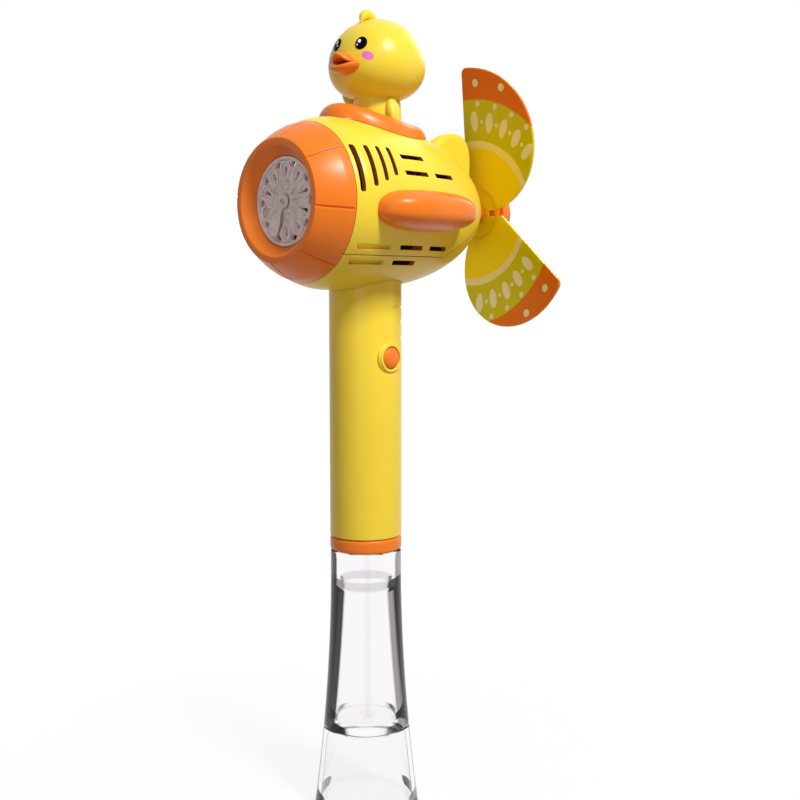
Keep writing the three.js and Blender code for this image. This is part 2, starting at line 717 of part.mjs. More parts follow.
function makeUpperShell() {
  const vents = steps(VENT_COUNT).map(vent);
  const highSlot = slot(SLOT_MIDDLE, SLOT_HIGH);
  const upperSlots = [SLOT_MIDDLE, SLOT_REAR].map((span) => slot(span, SLOT_UPPER));
  const lowerSlots = [SLOT_FRONT, SLOT_MIDDLE, SLOT_REAR].map((span) => slot(span, SLOT_LOWER));
  return cutAll(fuselageShell(), [underSeam(FIT), ...vents, highSlot, ...upperSlots, ...lowerSlots]);
}

function makeLowerShell() {
  const handleHole = turnZ(rod(HANDLE_R + FIT, FLANGE_Z - AXIS_Z - 2 * HANDLE_R, 0), FINE);
  const bellySlots = [SLOT_FRONT, SLOT_MIDDLE].map((span) => slot(span, SLOT_BELLY));
  return cutAll(fuselageShell().intersect(underSeam(0)), [handleHole, ...bellySlots]);
}

addPiece(fuselage, 'fuselage_upper_shell', makeUpperShell(), YELLOW);
addPiece(fuselage, 'fuselage_lower_shell', makeLowerShell(), YELLOW);

// Nose ring, bubble disc and wiper

const DISC_BACK_Y = DISC_FRONT_Y + DISC_THICKNESS;
const SEAT_R = DISC_R + FIT;

function makeNoseRing() {
  const joint = NOSE_Y - FIT;
  const middle = [(NOSE_R + RIM_R) / 2 + NOSE_BULGE, (joint + RIM_Y) / 2];
  const face = [[NOSE_R, joint], middle, [RIM_R, RIM_Y], [LIP_R, LIP_Y]];
  const ledgeY = DISC_BACK_Y + FIT;
  const bowl = [[(LIP_R + SEAT_R) / 2, LIP_Y + BOWL_FALL], [SEAT_R, DISC_FRONT_Y], [SEAT_R, ledgeY]];
  const ledge = [[SEAT_R - DISC_LEDGE, ledgeY], [SEAT_R - DISC_LEDGE, ledgeY + DISC_LEDGE]];
  const spigotR = innerRadius(NOSE_Y) - FIT;
  const spigotEnd = NOSE_Y + SPIGOT_LENGTH;
  const back = [[spigotR - SPIGOT_WALL, joint], [spigotR - SPIGOT_WALL, spigotEnd]];
  const spigot = [[spigotR, spigotEnd], [spigotR, joint], [NOSE_R, joint]];
  const body = turnY([...face, ...bowl, ...ledge, ...back, ...spigot].reverse(), FINE);
  return cutAll(body, steps(GROOVE_COUNT).map(groove));
}

// A radial groove down the cone of the nose ring.
function groove(i) {
  const half = GROOVE_WIDTH / 2;
  const middle = [(NOSE_R + RIM_R) / 2 + NOSE_BULGE, (NOSE_Y + RIM_Y) / 2];
  const bed = [[NOSE_R, NOSE_Y - 2 * FIT], middle, [RIM_R, RIM_Y]].map(([r, y]) => [y, r - GROOVE_DEPTH]);
  const above = [[RIM_Y, NOSE_R + GROOVE_DEPTH], [NOSE_Y - 2 * FIT, NOSE_R + GROOVE_DEPTH]];
  return turned(pushX(outline([...bed, ...above]), -half, half), GROOVE_TURN + (360 / GROOVE_COUNT) * i);
}

// A loop of the disc: a round end out by the rim, drawn to a point towards the centre.
function teardrop(angle) {
  const shoulder = THREE.MathUtils.radToDeg(Math.acos(LOOP_R / (LOOP_CENTRE - LOOP_POINT)));
  const round = arc(LOOP_CENTRE, 0, LOOP_R, shoulder - 180, 180 - shoulder, 6);
  const turn = degrees(angle);
  const origin = new THREE.Vector2();
  const drop = [new THREE.Vector2(LOOP_POINT, 0), ...round];
  return new THREE.Path(drop.map((point) => point.rotateAround(origin, turn)));
}

function makeDisc() {
  const shape = new THREE.Shape(arc(0, 0, DISC_R, 0, 360, FINE).slice(1));
  for (const i of steps(LOOP_COUNT)) {
    const angle = 90 + (360 / LOOP_COUNT) * i;
    const between = degrees(angle + 180 / LOOP_COUNT);
    shape.holes.push(teardrop(angle));
    const [x, y] = [PIERCE_REACH * Math.cos(between), PIERCE_REACH * Math.sin(between)];
    shape.holes.push(circlePath(x, y, PIERCE_R, TUBE_SIDES));
  }
  shape.holes.push(circlePath(0, 0, WIPER_SHAFT_R + RUN));
  return pushY(shape, DISC_FRONT_Y, DISC_BACK_Y);
}

const WIPER_BACK_Y = DISC_FRONT_Y - RUN;
const WIPER_FRONT_Y = WIPER_BACK_Y - WIPER_THICKNESS;

// A flat paddle that sweeps the solution over the loops, on a capped boss.
function makeWiper() {
  const shape = new THREE.Shape();
  const half = WIPER_WIDTH / 2;
  shape.moveTo(0, -WIPER_ROOT / 2);
  shape.lineTo(WIPER_REACH - half, -half);
  shape.absarc(WIPER_REACH - half, 0, half, -Math.PI / 2, Math.PI / 2, false);
  shape.lineTo(0, WIPER_ROOT / 2);
  const paddle = turned(pushY(shape, WIPER_FRONT_Y, WIPER_BACK_Y, 6), -WIPER_ANGLE);
  const boss = turnY(rod(2 * WIPER_SHAFT_R, WIPER_FRONT_Y - WIPER_CAP, WIPER_BACK_Y), COARSE);
  const socket = turnY(rod(WIPER_SHAFT_R + FIT, WIPER_FRONT_Y, WIPER_BACK_Y + PAST), COARSE);
  return paddle.add(boss).subtract(socket);
}

addPiece(fuselage, 'nose_ring', makeNoseRing(), ORANGE);
addPiece(fuselage, 'bubble_disc', makeDisc(), SMOKE, 0.3);
addPiece(fuselage, 'wiper_paddle', makeWiper(), SMOKE, 0.3);

// Gear train on two bulkheads: motor pinion, idler and wiper wheel, back on the same axis

const CENTRE_DISTANCE = (GEAR_MODULE * (PINION_TEETH + WHEEL_TEETH)) / 2 + CENTRE_EASE;
const FLANGE_TOP = HANDLE_TOP - AXIS_Z;
const WIPER_GEAR_Y = FRONT_BULKHEAD_Y + BULKHEAD + RUN;
const MOTOR_PINION_Y = WIPER_GEAR_Y + 2 * GEAR_FACE + RUN;
const REAR_BULKHEAD_Y = MOTOR_PINION_Y + GEAR_FACE + RUN;

// An involute spur gear's outline, with a tooth on +X turned by the given angle.
function gearShape(teeth, bore, turn) {
  const pitchR = (GEAR_MODULE * teeth) / 2;
  const angle = degrees(PRESSURE_ANGLE);
  const baseR = pitchR * Math.cos(angle);
  const tipR = pitchR + GEAR_MODULE;
  const rootR = pitchR - ROOT_DEPTH;
  const involute = (a) => Math.tan(a) - a;
  const halfTooth = Math.PI / (2 * teeth) - BACKLASH / (2 * pitchR);
  const halfAt = (r) => halfTooth + involute(angle) - involute(Math.acos(Math.min(1, baseR / r)));
  const flank = [rootR, tipR].map((r) => [r, halfAt(Math.max(r, baseR))]);
  const tooth = [...flank.map(([r, a]) => [r, -a]), ...[...flank].reverse()];
  const points = steps(teeth).flatMap((i) => tooth.map(([r, a]) => {
    const at = a + (2 * Math.PI * i) / teeth + turn;
    return new THREE.Vector2(r * Math.cos(at), r * Math.sin(at));
  }));
  const shape = new THREE.Shape(points);
  if (bore > 0) shape.holes.push(circlePath(0, 0, bore));
  return shape;
}

const HALF_PITCH = Math.PI / WHEEL_TEETH;

function bulkhead(y, holes) {
  const radius = Math.min(cavityRadius(y), cavityRadius(y + BULKHEAD)) - FIT;
  const plate = turnY(rod(radius, y, y + BULKHEAD), FINE);
  const windows = [-1, 1].flatMap((sx) => [-1, 1].map((sz) => [sx * WINDOW_X, sz * WINDOW_Z, WINDOW_R]));
  const below = block(-BELLY_R, BELLY_R, y - PAST, y + BULKHEAD + PAST, -BELLY_R, FLANGE_TOP + FIT);
  const drill = ([x, z, r]) => turnY(rod(r, y - PAST, y + BULKHEAD + PAST), COARSE).translate([x, 0, z]);
  return cutAll(plate, [below, ...windows.map(drill), ...holes.map(drill)]);
}

const TUBE_PASS_X = TUBE_X + TUBE_SHIFT;
const TUBE_PASS_Z = FLANGE_TOP + FIT + 3 * TUBE_R;
const pinHole = [0, CENTRE_DISTANCE, IDLER_PIN_R + FIT];
const shaftHole = [0, 0, WIPER_SHAFT_R + RUN];
const tubeHole = [TUBE_PASS_X, TUBE_PASS_Z, TUBE_R + 2 * RUN];
const frontBulkhead = bulkhead(FRONT_BULKHEAD_Y, [pinHole, shaftHole, tubeHole]);
const rearBulkhead = bulkhead(REAR_BULKHEAD_Y, [pinHole, [0, 0, MOTOR_BOSS_R + FIT]]);
addPiece(fuselage, 'front_bulkhead', frontBulkhead, BLACK, 0.6);
addPiece(fuselage, 'rear_bulkhead', rearBulkhead, BLACK, 0.6);

const wiperShaftEnd = WIPER_GEAR_Y + GEAR_FACE + WIPER_SHAFT_R / 2;
const wiperShaft = turnY(rod(WIPER_SHAFT_R, WIPER_FRONT_Y + FIT, wiperShaftEnd), COARSE);
addPiece(fuselage, 'wiper_shaft', wiperShaft, STEEL, 0.3, 1);
const wiperGear = pushY(gearShape(WHEEL_TEETH, WIPER_SHAFT_R + FIT, Math.PI / 2 + HALF_PITCH),
  WIPER_GEAR_Y, WIPER_GEAR_Y + GEAR_FACE, 5);
addPiece(fuselage, 'wiper_gear', wiperGear, WHITE, 0.5);

function makeIdler() {
  const bore = IDLER_PIN_R + FIT;
  const small = pushY(gearShape(PINION_TEETH, bore, -Math.PI / 2), WIPER_GEAR_Y, MOTOR_PINION_Y + PAST, 5);
  const large = pushY(gearShape(WHEEL_TEETH, bore, -Math.PI / 2 + HALF_PITCH),
    MOTOR_PINION_Y, MOTOR_PINION_Y + GEAR_FACE, 5);
  return small.add(large).translate([0, 0, CENTRE_DISTANCE]);
}

addPiece(fuselage, 'idler_gear', makeIdler(), WHITE, 0.5);
const idlerPin = rod(IDLER_PIN_R, FRONT_BULKHEAD_Y, REAR_BULKHEAD_Y + BULKHEAD);
addPiece(fuselage, 'idler_pin', turnY(idlerPin, COARSE).translate([0, 0, CENTRE_DISTANCE]), STEEL, 0.3, 1);

// Motor and fan

const MOTOR_Y = REAR_BULKHEAD_Y + BULKHEAD + FIT;
const MOTOR_END = MOTOR_Y + MOTOR_LENGTH;
const FAN_Y = MOTOR_END + FAN_GAP;
const FAN_END = FAN_Y + FAN_LENGTH;

function makeMotor() {
  const can = turnY(rod(MOTOR_R, MOTOR_Y, MOTOR_END));
  const side = MOTOR_R + PAST;
  const flats = block(-side, side, MOTOR_Y - PAST, MOTOR_END + PAST, -MOTOR_FLAT, MOTOR_FLAT);
  const boss = turnY(rod(MOTOR_BOSS_R, REAR_BULKHEAD_Y, MOTOR_Y + PAST), COARSE);
  const bore = turnY(rod(MOTOR_SHAFT_R + RUN, REAR_BULKHEAD_Y - PAST, MOTOR_END + PAST), COARSE);
  return can.intersect(flats).add(boss).subtract(bore);
}

function makeFan() {
  const hub = turnY(rod(FAN_HUB_R, FAN_Y, FAN_END), COARSE);
  const middle = (FAN_Y + FAN_END) / 2;
  const half = FAN_BLADE_THICKNESS / 2;
  const chord = FAN_LENGTH / Math.cos(degrees(FAN_PITCH));
  const blade = (i) => {
    const flat = block(-half, half, -chord / 2, chord / 2, FAN_HUB_R - 2 * PAST, FAN_R);
    return turned(flat.rotate([0, 0, FAN_PITCH]).translate([0, middle, 0]), (360 / FAN_BLADES) * i);
  };
  const slab = turnY(ring(MOTOR_SHAFT_R + FIT, FAN_R, FAN_Y, FAN_END));
  return unite([hub, ...steps(FAN_BLADES).map(blade)]).intersect(slab);
}

// The shroud round the fan is a third bulkhead with a short duct.
function makeShroud() {
  const bore = FAN_R + 2 * RUN;
  const duct = bore + SHROUD_WALL;
  const edge = Math.min(cavityRadius(FAN_Y), cavityRadius(FAN_Y + BULKHEAD)) - FIT;
  const flange = [[edge, FAN_Y], [edge, FAN_Y + BULKHEAD], [duct, FAN_Y + BULKHEAD]];
  return turnY([[bore, FAN_Y], ...flange, [duct, FAN_END], [bore, FAN_END], [bore, FAN_Y]], MEDIUM);
}

addPiece(fuselage, 'blower_motor', makeMotor(), STEEL, 0.35, 1);
const motorShaft = turnY(rod(MOTOR_SHAFT_R, MOTOR_PINION_Y, FAN_END), COARSE);
addPiece(fuselage, 'motor_shaft', motorShaft, STEEL, 0.3, 1);
const motorPinion = pushY(gearShape(PINION_TEETH, MOTOR_SHAFT_R + FIT, Math.PI / 2),
  MOTOR_PINION_Y, MOTOR_PINION_Y + GEAR_FACE, 5);
addPiece(fuselage, 'motor_pinion', motorPinion, WHITE, 0.5);
addPiece(fuselage, 'fan_rotor', makeFan(), BLACK, 0.5);
addPiece(fuselage, 'fan_shroud', makeShroud(), BLACK, 0.6);

// Squeeze pump in front of the first bulkhead, and the tube from bottle to disc

const PUMP_BACK_Y = FRONT_BULKHEAD_Y - FIT;
const PUMP_FRONT_Y = PUMP_BACK_Y - PUMP_WIDTH;
const PUMP_Y = (PUMP_FRONT_Y + PUMP_BACK_Y) / 2;
const TRACK_IN = PUMP_TRACK_R - TUBE_R;
const TRACK_OUT = PUMP_TRACK_R + TUBE_R;

const pumpTrack = annularSector(TRACK_OUT + FIT, TRACK_OUT + FIT + PUMP_WALL, 90, PUMP_HALF_ARC);
addPiece(fuselage, 'pump_housing', pushY(pumpTrack, PUMP_FRONT_Y, PUMP_BACK_Y, 10), WHITE, 0.6);

function makePumpRotor() {
  const low = PUMP_FRONT_Y + RUN;
  const high = PUMP_BACK_Y - RUN;
  const reach = TRACK_IN - RUN;
  const lobeR = LOBE_SHARE * reach;
  const hub = turnY(rod(ROTOR_HUB_SHARE * reach, low, high), COARSE);
  const lobe = (i) => {
    const arm = block(-lobeR, lobeR, low, high, 0, reach - lobeR);
    const nose = turnY(rod(lobeR, low, high), COARSE).translate([0, 0, reach - lobeR]);
    return turned(arm.add(nose), (360 / ROTOR_LOBES) * i);
  };
  const bore = turnY(rod(WIPER_SHAFT_R + FIT, low - PAST, high + PAST), COARSE);
  return unite([hub, ...steps(ROTOR_LOBES).map(lobe)]).subtract(bore);
}

addPiece(fuselage, 'pump_rotor', makePumpRotor(), ORANGE, 0.5);

const FILTER_Z = FLOOR_Z + BOTTLE_WALL + FIT;
const TUBE_FOOT_Z = FILTER_Z + FILTER_BASE + FIT;

// Up the handle, through the first bulkhead, round the pump's track and forward to the disc.
// The points lie closer where the tube bends, and each stretch between them has as many steps.
function tubeRoute() {
  const spot = (x, y, z) => new THREE.Vector3(x, y, z);
  const straightEnd = HANDLE_TOP - 4 * TUBE_R;
  const rise = [TUBE_FOOT_Z, straightEnd - 3 * TUBE_R, straightEnd].map((z) => spot(TUBE_X, TUBE_Y, z));
  const passZ = AXIS_Z + TUBE_PASS_Z;
  const beforePlate = FRONT_BULKHEAD_Y + BULKHEAD + TUBE_R;
  const cross = [beforePlate, FRONT_BULKHEAD_Y - TUBE_R / 2].map((y) => spot(TUBE_PASS_X, y, passZ));
  const climb = spot(PUMP_TRACK_R, PUMP_Y, AXIS_Z - PUMP_TRACK_R);
  const wrap = arc(0, AXIS_Z, PUMP_TRACK_R, 0, 180, 6).map(({ x, y }) => spot(x, PUMP_Y, y));
  const outletR = DISC_R - DISC_LEDGE - TUBE_R - 2 * FIT;
  const [outlet] = arc(0, AXIS_Z, outletR, OUTLET_ANGLE, OUTLET_ANGLE, 1);
  const leave = spot(-PUMP_TRACK_R, PUMP_Y - TUBE_R, AXIS_Z - 3 * TUBE_R);
  const lastStretch = heights(PUMP_FRONT_Y - 3 * TUBE_R, DISC_BACK_Y + FIT, 2);
  const forward = lastStretch.map((y) => spot(outlet.x, y, outlet.y));
  const route = new THREE.CatmullRomCurve3([...rise, ...cross, climb, ...wrap, leave, ...forward]);
  route.getUtoTmapping = (share) => share;
  return route;
}

addPiece(toy, 'solution_tube', tubeAlong(tubeRoute(), TUBE_R, TUBE_BORE_R, TUBE_STEPS), CLEAR, 0.2);
const filterCup = [[0, FILTER_Z], [FILTER_R, FILTER_Z], [FILTER_R, FILTER_Z + FILTER_HEIGHT]];
const filterSocket = [[TUBE_R + FIT, FILTER_Z + FILTER_HEIGHT], [TUBE_R + FIT, TUBE_FOOT_Z - FIT]];
const filter = turnZ([...filterCup, ...filterSocket, [0, TUBE_FOOT_Z - FIT]], COARSE);
addPiece(toy, 'tube_filter', filter, WHITE, 0.6).position.set(TUBE_X, TUBE_Y, 0);

// Wings, fin and cockpit rim, each cut to sit on the fuselage

const seat = fuselageBody(FIT);

function makeWing(side) {
  const sizes = [WING_SPAN, WING_HALF_CHORD, WING_HALF_THICKNESS];
  const body = roundBody(sizes, [WING_ROOT_X, WING_Y, -WING_DROP], { fullness: WING_FULLNESS });
  const left = body.subtract(seat);
  return side > 0 ? left : left.mirror([1, 0, 0]);
}

addPiece(fuselage, 'wing_left', makeWing(1), ORANGE);
addPiece(fuselage, 'wing_right', makeWing(-1), ORANGE);

function makeFin() {
  const shape = new THREE.Shape();
  const crownY = (FIN_FRONT_Y + FIN_REAR_Y) / 2 + FIN_CROWN_BACK;
  shape.moveTo(FIN_FRONT_Y, 0);
  shape.lineTo(FIN_REAR_Y - FIN_ROUND, 0);
  shape.lineTo(FIN_REAR_Y - FIN_ROUND, FIN_TOP - 4 * FIN_ROUND);
  const crest = FIN_TOP - FIN_ROUND;
  shape.quadraticCurveTo(FIN_REAR_Y - FIN_ROUND, crest, crownY, crest);
  shape.quadraticCurveTo(FIN_FRONT_Y + 2 * FIN_ROUND, crest, FIN_FRONT_Y, crest - 4 * FIN_ROUND);
  const core = FIN_THICKNESS - 2 * FIN_ROUND;
  const bevel = { bevelEnabled: true, bevelThickness: FIN_ROUND, bevelSize: FIN_ROUND, bevelSegments: 3 };
  const geometry = new THREE.ExtrudeGeometry(shape, { depth: core, curveSegments: 8, ...bevel });
  const turn = new THREE.Matrix4().set(0, 0, 1, -core / 2, 1, 0, 0, 0, 0, 1, 0, 0, 0, 0, 0, 1);
  const above = block(-BELLY_R, BELLY_R, FIN_FRONT_Y - BELLY_R, TAIL_Y + BELLY_R, 2 * SHAFT_R, 2 * BELLY_R);
  return solid(geometry.applyMatrix4(turn)).subtract(seat).intersect(above);
}

addPiece(fuselage, 'tail_fin', makeFin(), YELLOW);

// A band with a full outer brow, turned round and drawn out along the fuselage.
// It tilts down to the rear, and its sides sag to follow the round back of the fuselage.
function makeCockpitRim() {
  const inner = COCKPIT_HALF_WIDTH - COCKPIT_BAND;
  const crest = inner + COCKPIT_EDGE;
  const low = COCKPIT_TOP - COCKPIT_DEPTH;
  const brow = arc(0, 0, 1, 0, 90, 4).map(({ x, y }) => (
    [crest + (COCKPIT_HALF_WIDTH - crest) * x, COCKPIT_TOP + COCKPIT_BROW * (y - 1)]));
  const inside = [[inner, COCKPIT_TOP - COCKPIT_EDGE], [inner, low]];
  const profile = [[inner, low], [COCKPIT_HALF_WIDTH, low], ...brow, ...inside];
  const geometry = new THREE.LatheGeometry(vectors(profile), FINE).rotateX(Math.PI / 2);
  const stretch = COCKPIT_HALF_LENGTH / COCKPIT_HALF_WIDTH;
  const place = geometry.attributes.position;
  for (let i = 0; i < place.count; i += 1) {
    const [x, y, z] = [place.getX(i), stretch * place.getY(i), place.getZ(i)];
    const sag = COCKPIT_SAG * (x / COCKPIT_HALF_WIDTH) ** 2;
    place.setXYZ(i, x, y + COCKPIT_Y, z - COCKPIT_SLOPE * y - sag);
  }
  return solid(geometry).subtract(seat);
}

addPiece(fuselage, 'cockpit_rim', makeCockpitRim(), ORANGE);

// Duck, sitting on the fuselage inside the cockpit rim

const duck = new THREE.Group();
duck.position.set(0, HEAD_Y, 0);
fuselage.add(duck);

// The head is a little wider below its middle than above.
function headBody(grow) {
  const sizes = [HEAD_R + grow, HEAD_R + grow, HEAD_HALF_HEIGHT + grow];
  const bend = (x, y, z) => [x * (1 - HEAD_TAPER * z), y * (1 - HEAD_TAPER * z), z];
  return roundBody(sizes, [0, 0, HEAD_Z], { fullness: HEAD_SQUARENESS, bend });
}

const head = headBody(0);
const headSeat = headBody(FIT);
const facing = (body) => body.rotate([0, 0, FACE_TURN]);
const duckSeat = fuselageBody(FIT).translate([0, -HEAD_Y, 0]);

function makeTorso() {
  const base = BELLY_R - 2 * SHELL_WALL;
  const side = [[TORSO_R, base], [TORSO_R, BELLY_R + TORSO_SHOULDER], [TORSO_NECK_R, HEAD_Z]];
  const profile = [[0, base], ...side, [0, HEAD_Z]];
  return turnZ(profile).subtract(headSeat).subtract(duckSeat);
}

const torso = makeTorso();
addPiece(duck, 'duck_body', torso, YELLOW);
addPiece(duck, 'duck_head', head, YELLOW);

function makeTuft() {
  const top = HEAD_Z + HEAD_HALF_HEIGHT;
  const crest = top + TUFT_RISE - TUFT_R;
  const back = [[TUFT_R / 4, top - TUFT_R], [-TUFT_R / 2, top + TUFT_R / 4]];
  const front = [[-2 * TUFT_R, crest], [-TUFT_LENGTH, top + TUFT_R / 4]];
  const points = [...back, ...front].map(([y, z]) => [y - TUFT_FORWARD, z]);
  const curve = new THREE.CatmullRomCurve3(points.map(([y, z]) => new THREE.Vector3(0, y, z)));
  const tip = points.at(-1);
  const end = roundBody([TUFT_R, TUFT_R, TUFT_R], [0, ...tip], { columns: 8, rows: 6 });
  return facing(tubeAlong(curve, TUFT_R, 0, 6).add(end)).subtract(headSeat);
}

addPiece(duck, 'duck_tuft', makeTuft(), YELLOW);

// The left arm hangs by the rim and the right one is raised, as in a wave.
function makeArm(side) {
  const raised = side < 0;
  const shoulderZ = HEAD_Z - HEAD_HALF_HEIGHT - ARM_RISE;
  const reach = TORSO_R + FIT + (raised ? WAVE_OUT : ARM_OUT);
  const height = raised ? shoulderZ + WAVE_RISE : shoulderZ - ARM_LENGTH / 3;
  const sizes = [ARM_R, ARM_BREADTH, ARM_LENGTH / 2];
  const body = roundBody(sizes, [0, 0, 0], { fullness: ARM_FULLNESS, columns: COARSE, rows: 8 });
  const lean = raised ? WAVE_LEAN : ARM_LEAN;
  const set = body.rotate([0, -lean, 0]).translate([side * reach, -ARM_FORWARD, height]);
  const torsoSeat = turnZ(rod(TORSO_R + FIT, 0, HEAD_Z));
  return cutAll(set, [torsoSeat, headSeat, duckSeat]);
}

addPiece(duck, 'duck_arm_left', makeArm(1), YELLOW);
addPiece(duck, 'duck_arm_right', makeArm(-1), YELLOW);

// The upper half of the bill is narrower and rises to a ridge; the lower half is a broad scoop.
function makeBill(halfWidth, depth, lift, crown) {
  const sizes = [halfWidth, BILL_REACH, depth];
  const bend = (x, y, z) => [x, y, z + (crown / depth) * (1 - x * x)];
  const centre = [0, -HEAD_R - BILL_OUT, HEAD_Z - BILL_DROP + lift];
  return facing(roundBody(sizes, centre, { columns: 16, rows: 8, bend })).subtract(headSeat);
}

const upperBill = makeBill(BILL_UPPER_HALF, BILL_UPPER_DEPTH, BILL_UPPER_DEPTH + FIT, BILL_CROWN);
const lowerBill = makeBill(BILL_LOWER_HALF, BILL_LOWER_DEPTH, -BILL_LOWER_DEPTH, 0);
addPiece(duck, 'duck_bill_upper', upperBill, ORANGE);
addPiece(duck, 'duck_bill_lower', lowerBill, ORANGE);

// Windmill on its shaft through the tail

const windmill = new THREE.Group();
fuselage.add(windmill);

const BUSH_END = TAIL_Y + FIT;
const FLANGE_FRONT_Y = CAVITY_Y - FIT - BUSH_FLANGE;
const CLIP_Y = FLANGE_FRONT_Y - RUN - CLIP_WIDTH;
const HUB_NECK_Y = BLADE_DISC_Y + BLADE_THICKNESS / 2 + FIT;
const HUB_Y = HUB_NECK_Y + HUB_NECK;
const HUB_END = HUB_Y + HUB_LENGTH;
const NUT_BACK_Y = BLADE_DISC_Y - BLADE_THICKNESS / 2 - FIT;
const SHAFT_END = HUB_END - HUB_WALL - FIT;

const bushBore = SHAFT_R + RUN;
const bushStart = [bushBore, FLANGE_FRONT_Y];
const bushFlange = [[BUSH_FLANGE_R, FLANGE_FRONT_Y], [BUSH_FLANGE_R, CAVITY_Y - FIT]];
const bushBody = [[BUSH_R, CAVITY_Y - FIT], [BUSH_R, BUSH_END], [bushBore, BUSH_END]];
const tailBush = turnY([bushStart, ...bushFlange, ...bushBody, bushStart], COARSE);
addPiece(fuselage, 'tail_bush', tailBush, WHITE, 0.5);
const windmillShaft = turnY(rod(SHAFT_R, CLIP_Y - SHAFT_R / 2, SHAFT_END), COARSE);
addPiece(windmill, 'windmill_shaft', windmillShaft, STEEL, 0.3, 1);
const clip = turnY(ring(SHAFT_R + FIT, CLIP_R, CLIP_Y, CLIP_Y + CLIP_WIDTH), COARSE);
addPiece(windmill, 'shaft_clip', clip, STEEL, 0.3, 1);
const nut = turnY(ring(SHAFT_R + FIT, NUT_R, BUSH_END + RUN, NUT_BACK_Y), COARSE);
addPiece(windmill, 'hub_spacer', nut, ORANGE);

function makeHub() {
  const bore = SHAFT_R + FIT;
  const neck = [[bore, HUB_NECK_Y], [HUB_NECK_R, HUB_NECK_Y], [HUB_NECK_R, HUB_Y], [HUB_R, HUB_Y]];
  const rim = [[HUB_R, HUB_END - 2 * HUB_WALL], [HUB_CROWN_R, HUB_END - HUB_WALL / 2], [0, HUB_END]];
  const socket = [[0, SHAFT_END + FIT], [bore, SHAFT_END + FIT], [bore, HUB_NECK_Y]];
  return turnY([...neck, ...rim, ...socket], MEDIUM);
}

addPiece(windmill, 'windmill_hub', makeHub(), ORANGE);

// One printed blade: a straight leading edge set off from the axis and a round outer edge
// that sweeps back to the root. The sheet leans towards the nose as it goes out.
function makeBlade() {
  const spread = heights(0, 1, BLADE_ROWS).map((t) => Math.sin((Math.PI / 2) * t));
  const radii = spread.map((t) => BLADE_ROOT_R + (BLADE_R - BLADE_ROOT_R) * t);
  const straight = (r) => -Math.asin(BLADE_OFFSET / r);
  const last = straight(BLADE_R);
  const lead = (r) => {
    const past = Math.max(0, r - (BLADE_R - BLADE_TIP_ROUND));
    const rest = Math.sqrt(Math.max(0, BLADE_TIP_ROUND ** 2 - past ** 2));
    return straight(r) + (BLADE_TIP_ROUND - rest) / r;
  };
  const trail = (r) => {
    const t = (r - BLADE_ROOT_R) / (BLADE_R - BLADE_ROOT_R);
    return last + degrees(BLADE_SWEEP) * Math.sqrt(Math.max(0, 1 - Math.pow(t, BLADE_FULLNESS)));
  };
  const half = BLADE_THICKNESS / 2;
  const sheet = (side) => radii.map((r) => steps(BLADE_COLUMNS + 1).map((j) => {
    const swing = (Math.max(0, trail(r) - lead(r)) * j) / BLADE_COLUMNS;
    const a = lead(r) + swing;
    const y = BLADE_DISC_Y - BLADE_LEAN * (r - BLADE_ROOT_R) + BLADE_PITCH * (r - BLADE_ROOT_R) * swing;
    return [r * Math.sin(a), y + side * half, r * Math.cos(a)];
  }));
  return solid(closedSheet(sheet(-1), sheet(1)));
}

// Two like grids of points joined round their edges into one closed skin.
function closedSheet(front, back) {
  const corners = [];
  const quad = (a, b, c, d) => corners.push(...a, ...b, ...c, ...a, ...c, ...d);
  const rows = front.length;
  const columns = front[0].length;
  for (let i = 0; i + 1 < rows; i += 1) {
    for (let j = 0; j + 1 < columns; j += 1) {
      quad(front[i][j], front[i][j + 1], front[i + 1][j + 1], front[i + 1][j]);
      quad(back[i][j], back[i + 1][j], back[i + 1][j + 1], back[i][j + 1]);
    }
    quad(front[i][0], front[i + 1][0], back[i + 1][0], back[i][0]);
    quad(front[i][columns - 1], back[i][columns - 1], back[i + 1][columns - 1], front[i + 1][columns - 1]);
  }
  for (let j = 0; j + 1 < columns; j += 1) {
    quad(front[0][j], back[0][j], back[0][j + 1], front[0][j + 1]);
    quad(front[rows - 1][j], front[rows - 1][j + 1], back[rows - 1][j + 1], back[rows - 1][j]);
  }
  const geometry = new THREE.BufferGeometry();
  geometry.setAttribute('position', new THREE.BufferAttribute(new Float32Array(corners), 3));
  return geometry;
}

function makeBlades() {
  const half = BLADE_THICKNESS / 2;
  const disc = turnY(ring(SHAFT_R + FIT, BLADE_DISC_R, BLADE_DISC_Y - half, BLADE_DISC_Y + half));
  const blade = makeBlade();
  const spin = (i) => turned(blade, BLADE_TURN + (360 / BLADE_COUNT) * i);
  const wide = BLADE_SLOT_WIDTH / 2;
  const thick = [BLADE_DISC_Y - BLADE_THICKNESS, BLADE_DISC_Y + BLADE_THICKNESS];
  const slot = block(-wide, wide, ...thick, BLADE_SLOT_R, BLADE_DISC_R + BLADE_SLOT_WIDTH);
  const gap = (i) => turned(slot, 90 + (360 / BLADE_COUNT) * i);
  return cutAll(unite([disc, ...steps(BLADE_COUNT).map(spin)]), steps(BLADE_COUNT).map(gap));
}

addPiece(windmill, 'windmill_blades', makeBlades(), GREEN);

export default toy;
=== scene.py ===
# %% [markdown]
# # A bubble windmill
# A toy aeroplane on a battery handle: the nose blows bubbles, a duck rides in the cockpit, and a printed windmill
# turns behind the tail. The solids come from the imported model, which has the right sizes but flat facets. Here each
# part that shows gets a smooth skin in the same place, and every part gets a finish.

# %% Load the solid model
import json
import math

import bmesh
import bpy
from mathutils import Matrix, Vector


